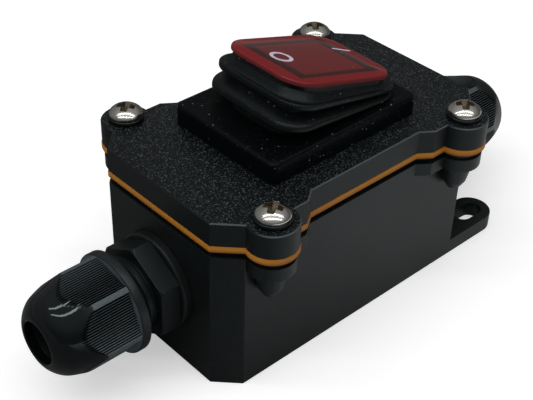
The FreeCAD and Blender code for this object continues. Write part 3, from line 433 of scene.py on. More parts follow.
def washer_mesh(_):
    """A washer, round at its rim and the same at each screw."""
    edge = WASHER_ROUND
    outline = [(lid_top, WASHER_HOLE)]
    outline += quarter(lid_top + edge, WASHER_RADIUS - edge, edge, 180, 90)
    outline += quarter(head_seat - edge, WASHER_RADIUS - edge, edge, 90, 0)
    outline.append((head_seat, WASHER_HOLE))
    return turned(outline, closed=True)


def at_each_boss(name, build, material):
    """One mesh that holds a copy of a turned piece at each of the four screw bosses."""
    work = bmesh.new()
    for n, (x, y) in enumerate(bosses):
        single = build(n)
        bmesh.ops.translate(single, verts=single.verts, vec=(x, y, 0))
        mesh = as_mesh(name, single)
        work.from_mesh(mesh)
        bpy.data.meshes.remove(mesh)
    return built(name, work, material)


washers = at_each_boss("sealing_washers", washer_mesh, washer_rubber)
seated(washers, "root", "washer_rubber", "screw_washers")


# Lid screws
# Four M4 pan head screws, cold headed in stainless steel, with a punched cross recess whose
# wings slope in to a point. They are left at slightly different turns, as they were tightened.

screw_low, screw_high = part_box("lid_screws")
HEAD_RADIUS = 3.9 * MM
HEAD_HEIGHT = screw_high.z - head_seat
HEAD_RIM = 0.7 * MM
HEAD_EDGE = 0.22 * MM
SHANK_RADIUS = 1.9 * MM
WING_SPAN = 2.4 * MM
WING_WIDTH = 0.66 * MM
WING_FLARE = 0.16 * MM
RECESS_DEPTH = 1.7 * MM
RECESS_EDGE = 0.07 * MM
RECESS_CREASE = math.radians(32)
RECESS_SKIN = 0.06 * MM
SHANK_TIP = 0.9 * MM
DOME_RINGS = 14
FIRST_TURN = 30
TURN_BETWEEN = 7

# Depth below the head's top, and span and width of the wings as shares of the above
RECESS_LEVELS = ((-0.4 * MM, 1.16, 1.25), (0.62 * RECESS_DEPTH, 0.72, 1.0),
                 (RECESS_DEPTH, 0.2, 0.6))


def dome_height(radius):
    """Height of the domed head above its seat at a distance from its middle."""
    rise = HEAD_HEIGHT - HEAD_RIM
    sphere = (HEAD_RADIUS**2 + rise**2) / (2 * rise)
    return HEAD_HEIGHT - sphere + math.sqrt(sphere**2 - radius**2)


def tube(work, rows):
    """Faces between the rows and over both ends, all turned outwards."""
    quads(work, rows)
    work.faces.new(rows[0])
    work.faces.new(list(reversed(rows[-1])))
    bmesh.ops.recalc_face_normals(work, faces=work.faces)


def recess_cutter():
    """Cross with four tapered wings that meet in a cone at the bottom of the recess."""
    work = bmesh.new()
    rings = []
    for below, span, width in RECESS_LEVELS:
        level = head_seat + HEAD_HEIGHT - below
        span, width = WING_SPAN * span, WING_WIDTH * width
        ring = []
        for side in range(4):
            for u, v in ((span, -width), (span, width), (width + WING_FLARE, width + WING_FLARE)):
                turn = Matrix.Rotation(side * math.pi / 2, 3, "Z")
                ring.append(work.verts.new(turn @ Vector((u, v, level))))
        rings.append(ring)
    tube(work, rings)
    return work


def screw_mesh(n):
    """Shank and domed head with the recess cut in, turned as this screw was left."""
    seat = head_seat
    rim = seat + HEAD_RIM
    outline = [(screw_low.z, 0), (screw_low.z + SHANK_TIP, SHANK_RADIUS), (seat, SHANK_RADIUS)]
    outline += quarter(seat + HEAD_EDGE, HEAD_RADIUS - HEAD_EDGE, HEAD_EDGE, 180, 90, 3)
    for k in range(DOME_RINGS + 1):
        radius = HEAD_RADIUS * math.cos(math.pi / 2 * k / DOME_RINGS)
        drop = HEAD_EDGE * math.exp(-(HEAD_RADIUS - radius) / (0.5 * HEAD_EDGE))
        outline.append((max(rim, seat + dome_height(radius)) - drop * 0.5, radius))
    screw = in_scene("head", as_mesh("head", turned(outline)))
    cutter = in_scene("cutter", as_mesh("cutter", recess_cutter()))
    cut = screw.modifiers.new("recess", "BOOLEAN")
    cut.object = cutter
    cut.operation = "DIFFERENCE"
    cut.solver = "EXACT"
    soften = screw.modifiers.new("soften", "BEVEL")
    soften.width = RECESS_EDGE
    soften.segments = 2
    soften.limit_method = "ANGLE"
    soften.angle_limit = RECESS_CREASE
    graph = bpy.context.evaluated_depsgraph_get()
    final = bpy.data.meshes.new_from_object(screw.evaluated_get(graph))
    bpy.data.objects.remove(screw)
    bpy.data.objects.remove(cutter)
    result = bmesh.new()
    result.from_mesh(final)
    bpy.data.meshes.remove(final)
    # Faces inside the recess, above the seat, take the second material, painted darker as shade.
    for face in result.faces:
        centre = face.calc_center_median()
        radius = math.hypot(centre.x, centre.y)
        if radius < WING_SPAN * 1.1 and centre.z < seat + dome_height(radius) - RECESS_SKIN:
            face.material_index = 1 if centre.z > seat else 0
    turn = Matrix.Rotation(math.radians(FIRST_TURN + n * TURN_BETWEEN), 3, "Z")
    bmesh.ops.rotate(result, verts=result.verts, cent=(0, 0, 0), matrix=turn)
    return result


def bright_metal(name, colour, rough, scratch=0.0002):
    """Tumbled metal: dull clouds over a bright skin."""
    material, tree = blank_material(name, metal=1.0)
    skin = placed(tree, grain, size=0.5)
    dull = tuple(0.82 * c for c in colour)
    return coated(material, {
        "Base Color": mixed(tree, skin["Cloud"], colour, dull),
        "Roughness": ramp(tree, skin["Cloud"], 0.0, 1.0, rough - 0.01, rough + 0.01),
        "Normal": bumped(tree, skin["Height"], scratch * MM, 0.2)})


screw_steel = bright_metal("screw_steel", (0.60, 0.585, 0.54), 0.19, scratch=0.00002)
screws = at_each_boss("pan_head_screws", screw_mesh, screw_steel)
# Painted shade in the cross recess: a darker, browner steel for its faces.
shaded_recess_steel = bright_metal("shaded_recess_steel", (0.13, 0.106, 0.072), 0.55, scratch=0.00002)
screws.data.materials.append(shaded_recess_steel)
seated(screws, "root", "screw_steel", "lid_screws")


# Switch body
# The rocker switch's own body, moulded in glossy black nylon. It snaps into the lid from above
# and holds the trunnions of the rocker, so only its bezel and ears could be seen.

def finish(material, *nodes):
    """Give carried-over pieces their finish."""
    for node in nodes:
        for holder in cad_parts[node].material_slots:
            holder.material = material


switch_nylon = moulded_plastic("switch_nylon", (0.008, 0.008, 0.0085), (0.013, 0.013, 0.0135),
                               (0.26, 0.36), 0.4, 0.35, 0.008)
finish(switch_nylon, "switch_housing", "rocker_lever")


# Contacts and blades
# See-saw contacts stamped in copper alloy on brass quick-connect blades. They tarnish slightly.

contact_copper = bright_metal("contact_copper", (0.72, 0.38, 0.24), 0.26)
terminal_brass = bright_metal("terminal_brass", (0.74, 0.56, 0.26), 0.28)
finish(contact_copper, "contact_lever_a", "contact_lever_b")
finish(terminal_brass, "line_terminal_a", "line_terminal_b", "load_terminal_a", "load_terminal_b")


# Plungers and springs
# White acetal plungers pushed by coil springs of hard drawn steel wire in the lever's barrels.

plunger_acetal = moulded_plastic("plunger_acetal", (0.72, 0.71, 0.68), (0.8, 0.79, 0.76),
                                 (0.28, 0.38), 0.5, 0.6, 0.006)
spring_steel = bright_metal("spring_steel", (0.52, 0.52, 0.53), 0.3)
finish(plunger_acetal, "plunger_a", "plunger_b")
SPRING_SEATS = {"a": (0.7 * MM, 6.2 * MM, 49.0 * MM), "b": (0.7 * MM, -6.2 * MM, 49.0 * MM)}
for pole, seat in SPRING_SEATS.items():
    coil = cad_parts["plunger_spring_" + pole].data.copy()
    coil.materials.clear()
    spring = mesh_object("coil_spring_" + pole, coil, spring_steel, 60)
    seated(spring, "rocker", "spring_steel", "plunger_spring_" + pole)
    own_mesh(spring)


# Lamp and resistor
# A neon lamp of clear glass and a pale ceramic resistor lie under the cap, on bent leads.

def lamp_glass():
    material, tree = blank_material("lamp_glass")
    cloud = placed(tree, grain, size=2.0)["Cloud"]
    return coated(material, {
        "Base Color": mixed(tree, cloud, (0.92, 0.9, 0.88), (0.8, 0.74, 0.7)),
        "Transmission Weight": 0.85,
        "Roughness": 0.06})


resistor_ceramic = moulded_plastic("resistor_ceramic", (0.46, 0.38, 0.26), (0.6, 0.5, 0.36),
                                   (0.4, 0.55), 0.4, 0.8, 0.02)
finish(lamp_glass(), "neon_lamp")
finish(resistor_ceramic, "lamp_resistor")


# Silicone boot
# One soft black moulding: a square foot over the bezel, then two bellows folds up to the cap.
# The rocker's tilt squeezes the folds at one end, so each fold is a ring that leans by itself.

FOOT_HALF_LENGTH = 22.8 * MM
FOOT_HALF_WIDTH = 16.7 * MM
FOOT_HEIGHT = 5.1 * MM
FOOT_CORNER = 2.0 * MM
FOOT_ROUND = 0.95 * MM
FOOT_DRAFT = 0.12 * MM
FOOT_SKIN = 1.3 * MM
FOOT_DISH = 0.3 * MM
NECK_HALF = (13.7 * MM, 10.1 * MM)
NECK_CORNER = 5.5 * MM
BOOT_SKIN = 1.1 * MM
CAP_HALF_LENGTH = 16.8 * MM
CAP_HALF_WIDTH = 12.8 * MM
FOLD_CORNER = 6.5 * MM
PIVOT_RISE = 1.2 * MM
ROCKER_TILT = math.radians(16.3)
BOOT_TOP = 12.4 * MM
CORNER_STEPS = 10
SIDE_STEPS = 5
RINGS_BETWEEN = 5

# Each station of the folds from the foot up, in millimetres: height above the foot at the -X
# end, the same at the +X end, centre x, half length and half width beyond those of the cap
FOLD_STATIONS = [
    (-0.3, -0.3, 0.2, -2.6, -2.2),
    (2.3, 0.05, 0.8, -2.5, -2.0),
    (3.1, 0.2, 1.15, 0.45, 1.7),
    (4.0, 0.45, 1.4, 0.85, 2.25),
    (4.8, 0.72, 1.6, 0.7, 2.05),
    (5.3, 0.85, 1.75, 0.0, 1.3),
    (6.5, 1.0, 2.2, -1.8, -1.1),
    (8.1, 1.15, 2.55, 0.5, 1.45),
    (9.0, 1.55, 2.8, 0.9, 1.8),
    (9.6, 1.95, 2.95, 0.85, 1.7),
    (9.85, 2.05, 3.0, 0.05, 0.75),
    (11.4, 2.7, 3.25, -0.9, -0.4),
]
LOWER_FOLD = 3
VALLEY = 6
UPPER_FOLD = 8

# For each fold, a share of the rocker's tilt and the length of a line across it, as handed to bend
LOWER_BEND = (0.44, 16.4 * MM)
UPPER_BEND = (0.66, 21.0 * MM)

foot_top = lid_top + FOOT_HEIGHT
pivot = Vector((0, 0, lid_top + PIVOT_RISE))
rocker_place = Matrix.Translation(pivot) @ Matrix.Rotation(ROCKER_TILT, 4, "Y")


def rounded_ring(half_length, half_width, corner):
    """Points round a rectangle with round corners, with points along its straight sides too."""
    arcs = []
    for n, (sx, sy) in enumerate(((1, 1), (-1, 1), (-1, -1), (1, -1))):
        middle = Vector((sx * (half_length - corner), sy * (half_width - corner), 0))
        turns = [math.pi / 2 * (n + k / CORNER_STEPS) for k in range(CORNER_STEPS + 1)]
        arcs.append([middle + corner * Vector((math.cos(t), math.sin(t), 0)) for t in turns])
    points = []
    for arc, after in zip(arcs, arcs[1:] + arcs[:1]):
        points += arc + [arc[-1].lerp(after[0], k / SIDE_STEPS) for k in range(1, SIDE_STEPS)]
    return points


def smooth_between(rows, place):
    """Values at a place along a table of rows, on a smooth curve through them."""
    first = min(max(int(place), 0), len(rows) - 2)
    t = place - first
    a, b = rows[max(first - 1, 0)], rows[first]
    c, d = rows[first + 1], rows[min(first + 2, len(rows) - 1)]
    values = []
    for p, q, r, s in zip(a, b, c, d):
        values.append(0.5 * (2 * q + (r - p) * t + (2 * p - 5 * q + 4 * r - s) * t**2
                             + (3 * q - p - 3 * r + s) * t**3))
    return values


def fold_place(row):
    """Half length, half width, lean and middle of a ring of the folds, from its row."""
    low_end, high_end, centre, longer, wider = [v * MM for v in row]
    half_length = CAP_HALF_LENGTH + longer
    lean = math.asin((low_end - high_end) / (2 * half_length))
    middle = Vector((centre, 0, foot_top + (low_end + high_end) / 2))
    return half_length, CAP_HALF_WIDTH + wider, lean, middle


def fold_ring(place, inset=0.0, lift=0.0):
    """Leaning ring of the folds at a place among the stations."""
    half_length, half_width, lean, middle = fold_place(smooth_between(FOLD_STATIONS, place))
    where = Matrix.Translation(middle + Vector((0, 0, lift))) @ Matrix.Rotation(lean, 4, "Y")
    ring = rounded_ring(half_length - inset, half_width - inset, FOLD_CORNER - inset)
    return [where @ p for p in ring]


def level_ring(height, *shape):
    """Level ring at a height."""
    return [p + Vector((0, 0, height)) for p in rounded_ring(*shape)]


def rocker_ring(level, *shape):
    """Ring across the rocker at a level above its pivot."""
    return [rocker_place @ p for p in level_ring(level, *shape)]


def skinned(name, rings, material, caps=False):
    """Surface over a row of rings with as many points each, capped or closed back to the first."""
    work = bmesh.new()
    rows = [[work.verts.new(p) for p in ring] for ring in rings]
    quads(work, rows, back=not caps)
    if caps:
        work.faces.new(list(reversed(rows[0])))
        work.faces.new(rows[-1])
    bmesh.ops.recalc_face_normals(work, faces=work.faces)
    return built(name, work, material, 50)


def dust_group():
    """Stray specks of dust: small round spots, of which only a share are there."""
    group, given, result = surface_group(
        "dust_specks", {"Spacing": 1.0, "Share": 0.1, "Width": 0.12}, ["Mask"])
    distance, chance = scattered(group, given["Spacing"])
    near = maths(group, "LESS_THAN", distance, given["Width"])
    there = maths(group, "LESS_THAN", chance, given["Share"])
    fed(group, result, {"Mask": maths(group, "MULTIPLY", near, there)})
    return group


dust = dust_group()


def fed_by(material, label):
    """What feeds an input of a material's surface so far."""
    return material.node_tree.nodes["Principled BSDF"].inputs[label].links[0].from_socket


def boot_silicone(name, specular):
    """Black silicone, matt in its hollows, with the dust that such rubber picks up."""
    material = moulded_plastic(name, (0.0010, 0.0016, 0.0019), (0.0020, 0.0029, 0.0033),
                               (0.36, 0.46), specular, 0.35, 0.012)
    tree = material.node_tree
    shelter = add(tree, "AmbientOcclusion", {"Distance": 3.0 * MM}, samples=6).outputs["AO"]
    specks = placed(tree, dust, spacing=1.1, share=0.2, width=0.14)["Mask"]
    flecks = placed(tree, dust, spacing=0.55, share=0.3, width=0.17)["Mask"]
    amount = maths(tree, "MAXIMUM", maths(tree, "MULTIPLY", flecks, 0.35), specks)
    return coated(material, {
        "Base Color": mixed(tree, amount, fed_by(material, "Base Color"), (0.16, 0.17, 0.165)),
        "Roughness": maths(tree, "MAXIMUM", ramp(tree, shelter, 0.4, 0.9, 0.85, 0.0),
                           fed_by(material, "Roughness"))})


silicone = boot_silicone("boot_silicone", 0.27)
foot_silicone = boot_silicone("foot_silicone", 0.1)


def boot_foot():
    """Foot with a slight draft, a soft top edge and a top face that dips towards the neck."""
    outside = [(0.0, 0.0), (0.5 * FOOT_HEIGHT, 0.4 * FOOT_DRAFT)]
    for height, out in quarter(FOOT_HEIGHT - FOOT_ROUND, 0, FOOT_ROUND, 90, 0, 5):
        outside.append((height, FOOT_DRAFT + FOOT_ROUND - out))
    outside.append((FOOT_HEIGHT - 0.5 * FOOT_DISH, FOOT_DRAFT + FOOT_ROUND + 1.0 * MM))
    rings = []
    for height, inset in outside:
        rings.append((height, FOOT_HALF_LENGTH - inset, FOOT_HALF_WIDTH - inset,
                      max(FOOT_CORNER - 0.3 * inset, MM)))
    dished = FOOT_HEIGHT - FOOT_DISH
    hollow = (FOOT_HALF_LENGTH - FOOT_SKIN, FOOT_HALF_WIDTH - FOOT_SKIN, MM)
    rings += [(dished, *NECK_HALF, NECK_CORNER), (dished - FOOT_SKIN, *NECK_HALF, NECK_CORNER),
              (dished - FOOT_SKIN, *hollow), (0.0, *hollow)]
    return skinned("boot_foot", [level_ring(lid_top + h, *shape) for h, *shape in rings],
                   foot_silicone)


def fold_skin(name, outer, hidden_low, hidden_high):
    """Ring of the bellows: its outer rings, tucked ends and an inner wall one skin inside."""
    places = []
    for n in range(int(outer[0]), int(outer[1])):
        places += [n + k / RINGS_BETWEEN for k in range(RINGS_BETWEEN)]
    places.append(outer[1])
    outside = [fold_ring(p) for p in places]
    inside = [fold_ring(p, BOOT_SKIN) for p in places]
    return skinned(name, hidden_low[0] + outside + hidden_high[0] + hidden_high[1]
                   + list(reversed(inside)) + hidden_low[1], silicone)


def bend(piece, fold, share, spread):
    """Fix a fold's mesh where it stands and hide the carried-over boot."""
    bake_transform(piece)
    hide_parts("rubber_boot")


foot = boot_foot()
seated(foot, "root", "boot_silicone", "rubber_boot")

NECK_TUCK = 3.4 * MM
VALLEY_TUCK = 1.6 * MM
lower = fold_skin("boot_lower_fold", (0, VALLEY),
                  ([fold_ring(0, 0.5 * MM, -NECK_TUCK)], [fold_ring(0, BOOT_SKIN, -NECK_TUCK)]),
                  ([fold_ring(VALLEY, BOOT_SKIN, VALLEY_TUCK)],
                   [fold_ring(VALLEY, 1.9 * BOOT_SKIN, VALLEY_TUCK)]))
bend(lower, LOWER_FOLD, *LOWER_BEND)

TOP_HALF_LENGTH = 16.1 * MM
TOP_HALF_WIDTH = 12.2 * MM
TOP_CORNER = 5.5 * MM
FOLD_TOP = BOOT_TOP - 0.02 * MM
upper = fold_skin("boot_upper_fold", (VALLEY, len(FOLD_STATIONS) - 1), ([], []),
                  ([rocker_ring(FOLD_TOP, TOP_HALF_LENGTH, TOP_HALF_WIDTH, TOP_CORNER)],
                   [rocker_ring(FOLD_TOP, TOP_HALF_LENGTH - BOOT_SKIN,
                                TOP_HALF_WIDTH - BOOT_SKIN, TOP_CORNER - BOOT_SKIN)]))
bend(upper, UPPER_FOLD, *UPPER_BEND)

COLLAR_OUTSIDE = (TOP_HALF_LENGTH - 1.25 * MM, TOP_HALF_WIDTH - 1.25 * MM, 2.8 * MM)
COLLAR_HOLE = (13.2 * MM, 9.9 * MM, 1.8 * MM)
COLLAR_FOOT = 6.2 * MM
COLLAR_TOP = BOOT_TOP - 0.03 * MM
collar = skinned("boot_collar", [
    rocker_ring(COLLAR_FOOT, *COLLAR_OUTSIDE), rocker_ring(COLLAR_TOP, *COLLAR_OUTSIDE),
    rocker_ring(COLLAR_TOP, *COLLAR_HOLE), rocker_ring(COLLAR_FOOT, *COLLAR_HOLE)], silicone)
seated(collar, "rocker", "boot_silicone", "rubber_boot")


# Rocker cap
# The see-through lens of the switch, moulded in milky red polycarbonate with a pocket under its
# middle that plugs into the black lever. The O and I are printed white on its top.

CAP_TOP = 13.6 * MM
CAP_THICK = 1.2 * MM
CAP_CORNER = 6.5 * MM
CAP_MIDDLE = 6.0 * MM
CAP_ROUND = 0.4 * MM
PLUG_HALF_LENGTH = 11.4 * MM
PLUG_HALF_WIDTH = 8.1 * MM
PLUG_DEPTH = 3.2 * MM
PLUG_WALL = 1.2 * MM
PLUG_CORNER = 1.5 * MM
POCKET_CORNER = 0.6 * PLUG_CORNER
SMALLEST_CORNER = 0.6 * MM
PRINT_THICK = 0.02 * MM
# Outer and inner rectangles of the painted frame shadow, and how soft its edges are.
FRAME_OUTSIDE = (13.0 * MM, 9.7 * MM)
FRAME_INSIDE = (10.2 * MM, 8.0 * MM)
FRAME_BLUR = 0.35 * MM

# Rings of the plug and its pocket: depth below the cap's wall, inset and corner
PLUG_RINGS = [(0, 0, PLUG_CORNER), (PLUG_DEPTH, 0.1 * MM, PLUG_CORNER),
              (PLUG_DEPTH, PLUG_WALL, POCKET_CORNER),
              (0.1 * MM, PLUG_WALL + 1.1 * MM, POCKET_CORNER),
              (0, 2 * PLUG_WALL + 1.4 * MM, POCKET_CORNER)]


def reach(tree, vector, direction):
    """How far a vector goes in a direction."""
    inputs = {0: vector, 1: direction}
    return add(tree, "VectorMath", inputs, operation="DOT_PRODUCT").outputs["Value"]


def lens_plastic():
    """Milky red plastic: a painted shadow of the lever's black frame, painted light outside it
    where light passes through the edges, and painted shade deepening its sides, which are duller.
    """
    material, tree = blank_material("lens_plastic", specular=0.36)
    cloud = placed(tree, grain, size=1.6)["Cloud"]
    specks = placed(tree, dust, spacing=1.5, share=0.12, width=0.08)["Mask"]
    where = add(tree, "TexCoord").outputs
    length_way = rocker_place.to_3x3() @ Vector((1, 0, 0))
    lengthwise = maths(tree, "ADD", reach(tree, where["Object"], tuple(length_way)),
                       -length_way.dot(pivot))
    crosswise = component(tree, where["Object"], "Y")
    marks = []
    for half_length, half_width in (FRAME_OUTSIDE, FRAME_INSIDE):
        masks = [ramp(tree, maths(tree, "ABSOLUTE", source), half - FRAME_BLUR, half + FRAME_BLUR,
                      1.0, 0.0, interpolation_type="SMOOTHSTEP")
                 for source, half in ((lengthwise, half_length), (crosswise, half_width))]
        marks.append(maths(tree, "MULTIPLY", *masks))
    # Painted shadow of the lever's black frame: a dark band between the two rectangles.
    painted_frame_shadow = maths(tree, "SUBTRACT", *marks, use_clamp=True)
    side = ramp(tree, component(tree, where["Normal"], "Z"), 0.45, 0.9, 1.0, 0.0)
    # Painted light outside the frame, where light passes through the lens's edges; inside, the lens
    # is darker.
    colour = mixed(tree, marks[1], (0.24, 0.009, 0.010), (0.17, 0.009, 0.0095))
    colour = mixed(tree, painted_frame_shadow, colour, (0.048, 0.0070, 0.0072))
    # Painted shade on the sides, which turn a deeper red.
    colour = mixed(tree, side, colour, (0.13, 0.0045, 0.005))
    return coated(material, {
        "Base Color": mixed(tree, specks, colour, (0.45, 0.3, 0.28)),
        "Roughness": maths(tree, "MAXIMUM", ramp(tree, side, 0.0, 1.0, 0.0, 0.75),
                           ramp(tree, cloud, 0.0, 1.0, 0.06, 0.14)),
        "Transmission Weight": 0.2,
        "IOR": 1.5})


def cap_rings():
    """Rings of the cap from the middle of its top, over its rim, to the pocket underneath."""
    under = CAP_TOP - CAP_THICK
    rim = [(CAP_TOP, CAP_MIDDLE)]
    for level, out in (quarter(CAP_TOP - CAP_ROUND, 0, CAP_ROUND, 0, 90)
                       + quarter(under + CAP_ROUND, 0, CAP_ROUND, 90, 180)):
        rim.append((level, CAP_ROUND - out))
    rings = [rocker_ring(level, CAP_HALF_LENGTH - inset, CAP_HALF_WIDTH - inset,
                         max(CAP_CORNER - inset, SMALLEST_CORNER)) for level, inset in rim]
    for depth, inset, corner in PLUG_RINGS:
        rings.append(rocker_ring(under - depth, PLUG_HALF_LENGTH - inset, PLUG_HALF_WIDTH - inset,
                                 corner))
    return rings


cap = skinned("rocker_lens", cap_rings(), lens_plastic(), caps=True)
seated(cap, "rocker", "red_lens", "rocker_cap")


def print_ink():
    material, tree = blank_material("print_ink", specular=0.3)
    tone = placed(tree, grain, size=0.4)["Tone"]
    return coated(material, {
        "Base Color": mixed(tree, tone, (0.60, 0.53, 0.66), (0.74, 0.66, 0.78)),
        "Roughness": 0.45})


ink = print_ink()
O_CENTRE = Vector((-8.0 * MM, 1.7 * MM, 0))
O_RADIUS = 2.75 * MM
O_STROKE = 0.9 * MM
I_START = Vector((11.4 * MM, 3.65 * MM, 0))
I_END = Vector((15.0 * MM, 1.65 * MM, 0))
I_STROKE = 0.62 * MM


def printed_o():
    """Thin ring of ink."""
    bottom, top = CAP_TOP - PRINT_THICK, CAP_TOP + PRINT_THICK
    outer, inner = O_RADIUS, O_RADIUS - O_STROKE
    work = turned([(bottom, inner), (bottom, outer), (top, outer), (top, inner)], closed=True)
    work.transform(rocker_place @ Matrix.Translation(O_CENTRE))
    return built("printed_o", work, ink)


def printed_i():
    """Thin bar of ink with round ends."""
    along = (I_END - I_START).normalized()
    across = Vector((-along.y, along.x, 0))
    outline = []
    half = I_STROKE / 2
    for centre, start_turn in ((I_END, -90), (I_START, 90)):
        for k in range(9):
            turn = math.radians(start_turn + 180 * k / 8)
            outline.append(centre + along * half * math.cos(turn) + across * half * math.sin(turn))
    rings = []
    for level in (CAP_TOP - PRINT_THICK, CAP_TOP + PRINT_THICK):
        rings.append([rocker_place @ (p + Vector((0, 0, level))) for p in outline])
    return skinned("printed_i", rings, ink, caps=True)


for mark in (printed_o(), printed_i()):
    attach(mark, "rocker")


# Cable glands
# Two nylon glands. A hex body screws into the end wall against a flat washer, and a dome nut
# with ribbed grip flats squeezes slotted claws and a rubber sleeve round the cable.

seal_low, seal_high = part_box("gland_seal_left")
gland_middle = (seal_low.z + seal_high.z) / 2
wall_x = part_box("gland_washer_right")[0].x
GLAND_EDGE = 0.2 * MM
HEX_END = wall_x + 7.4 * MM
THREAD_END = HEX_END + 9.0 * MM
THREAD_RADIUS = 8.7 * MM
THREAD_PITCH = 1.5 * MM
THREAD_HEIGHT = 0.5 * MM
THREAD_SINK = 0.15 * MM
THREAD_STEPS = 48
THREAD_FADE = 12
NUT_START = wall_x + 11.4 * MM
RING_END = NUT_START + 2.3 * MM
RING_RADIUS = 12.1 * MM
RING_ROUND = 0.35 * MM
GRIP_APOTHEM = 10.45 * MM
GRIP_CORNER = 11.72 * MM
HALF_FLAT = math.sqrt(GRIP_CORNER**2 - GRIP_APOTHEM**2)
CORNER_ANGLE = 52
FLAT_ANGLE = CORNER_ANGLE + 30
RIBS_A_FLAT = 18
RIB_DEPTH = 0.42 * MM
POINTS_A_RIB = 6
POINTS_A_CORNER = 6
GRIP_STEPS = 5
DOME_STEPS = 26
NUT_BORE = 9.3 * MM
MOUTH_RADIUS = 5.0 * MM
NUT_TIP = wall_x + 32.5 * MM
SEAL_END = wall_x + 30.3 * MM
CREST_END = wall_x + 27.0 * MM
GROOVE_START = 0.64 * RIB_DEPTH
POLISH = (wall_x + 22.5 * MM, wall_x + 25.0 * MM)

# Inside of the nut from its mouth to its thread: distance and radius
NUT_HOLLOW = [(NUT_TIP - 1.2 * MM, MOUTH_RADIUS), (SEAL_END, MOUTH_RADIUS), (SEAL_END, 7.0 * MM),
              (SEAL_END - 1.8 * MM, 7.5 * MM), (THREAD_END + 4.0 * MM, 8.3 * MM),
              (THREAD_END + 1.0 * MM, NUT_BORE)]

# Outline of the dome beyond the grip, in millimetres from the end wall: distance and radius
DOME_OUTLINE = [(21.5, 11.95), (22.6, 11.72), (23.7, 11.2), (25.2, 10.62), (27.4, 9.95),
                (29.4, 9.18), (30.9, 8.05), (31.9, 6.9), (32.4, 6.0), (32.5, 5.45), (32.3, 5.1)]

gland_nylon = moulded_plastic("gland_nylon", (0.0034, 0.0048, 0.0052), (0.0060, 0.0078, 0.0084),
                              (0.36, 0.46), 0.3, 0.3, 0.02)
seal_rubber = soft_rubber("seal_rubber", (0.0045, 0.0048, 0.0050), 0.45)
# Painted light on the grip ribs: the crests are a lighter copy of the nylon as a painted highlight,
# the grooves a darker copy as painted shade.
highlit_crest_nylon = moulded_plastic("highlit_crest_nylon", (0.055, 0.067, 0.073), (0.076, 0.092, 0.100),
                              (0.36, 0.44), 0.45, 0.4, 0.003)
shaded_groove_nylon = moulded_plastic("shaded_groove_nylon", (0.0004, 0.0005, 0.0006), (0.0008, 0.0010, 0.0011),
                               (0.5, 0.6), 0.06, 0.4, 0.003)


def dome_nylon():
    """Nylon of the dome nuts: satin on the grip, nearly polished on the dome."""
    material = moulded_plastic("dome_nylon", (0.0075, 0.0095, 0.0105), (0.0115, 0.0140, 0.0150),
                               (0.34, 0.42), 0.4, 0.4, 0.002)
    tree = material.node_tree
    where = add(tree, "TexCoord").outputs["Object"]
    outwards = maths(tree, "ABSOLUTE", component(tree, where, "X"))
    domed = ramp(tree, outwards, *POLISH)
    return coated(material, {
        "Base Color": mixed(tree, domed, fed_by(material, "Base Color"), (0.0022, 0.0028, 0.0030)),
        "Roughness": mixed(tree, domed, fed_by(material, "Roughness"), 0.05, "FLOAT")})


def from_flat(degrees):
    """Angle from the middle of the nearest flat, in radians."""
    return math.radians((degrees - FLAT_ANGLE + 30) % 60 - 30)


def grip_radius(degrees):
    """Radius of the grip at an angle: ribbed flats between plain corner strips."""
    across = GRIP_APOTHEM * math.tan(from_flat(degrees))
    if abs(across) >= HALF_FLAT:
        return GRIP_CORNER
    rib = math.cos(math.pi * RIBS_A_FLAT * (across / HALF_FLAT + 1))
    groove = RIB_DEPTH * min(1.0, 0.75 * (1 - rib))
    return GRIP_APOTHEM / math.cos(from_flat(degrees)) - groove


def nut_angles():
    """Angles round the nut: close together over the ribs, wider over the corner strips."""
    flat_points = RIBS_A_FLAT * POINTS_A_RIB
    edge = math.degrees(math.atan(HALF_FLAT / GRIP_APOTHEM))
    angles = []
    for side in range(6):
        middle = FLAT_ANGLE + 60 * side
        for n in range(flat_points + 1):
            across = HALF_FLAT * (2 * n / flat_points - 1) * 0.999
            angles.append(middle + math.degrees(math.atan(across / GRIP_APOTHEM)))
        for n in range(POINTS_A_CORNER + 1):
            angles.append(middle + edge + (60 - 2 * edge) * n / POINTS_A_CORNER)
    return angles


def dome_start(radius):
    """Place along the dome's outline where it has come down to this radius."""
    low, high = 0.0, len(DOME_OUTLINE) - 2.0
    for _ in range(24):
        middle = (low + high) / 2
        if smooth_between(DOME_OUTLINE, middle)[1] * MM > radius:
            low = middle
        else:
            high = middle
    return low


def dome_radius(distance):
    """Radius of the dome's outline at a distance along the axis."""
    place = (distance - wall_x) / MM
    for (a, near), (b, far) in zip(DOME_OUTLINE, DOME_OUTLINE[1:]):
        if place < b:
            return (near + (far - near) * (place - a) / (b - a)) * MM
    return 0.0


def nut_outline(degrees):
    """Closed outline of the nut at one angle: ring, grip, dome, mouth and hollow."""
    grip = grip_radius(degrees)
    ring = RING_RADIUS - RING_ROUND
    outline = [(NUT_START, NUT_BORE)]
    outline += quarter(NUT_START + RING_ROUND, ring, RING_ROUND, 180, 90, 3)
    outline += quarter(RING_END - RING_ROUND, ring, RING_ROUND, 90, 0, 3)
    begin = dome_start(grip)
    edge = wall_x + smooth_between(DOME_OUTLINE, begin)[0] * MM
    for n in range(GRIP_STEPS + 1):
        outline.append((RING_END + (edge - RING_END) * n / GRIP_STEPS, grip))
    stretch = len(DOME_OUTLINE) - 1 - begin
    for n in range(1, DOME_STEPS + 1):
        distance, radius = smooth_between(DOME_OUTLINE, begin + stretch * n / DOME_STEPS)
        outline.append((wall_x + distance * MM, radius * MM))
    return outline + NUT_HOLLOW


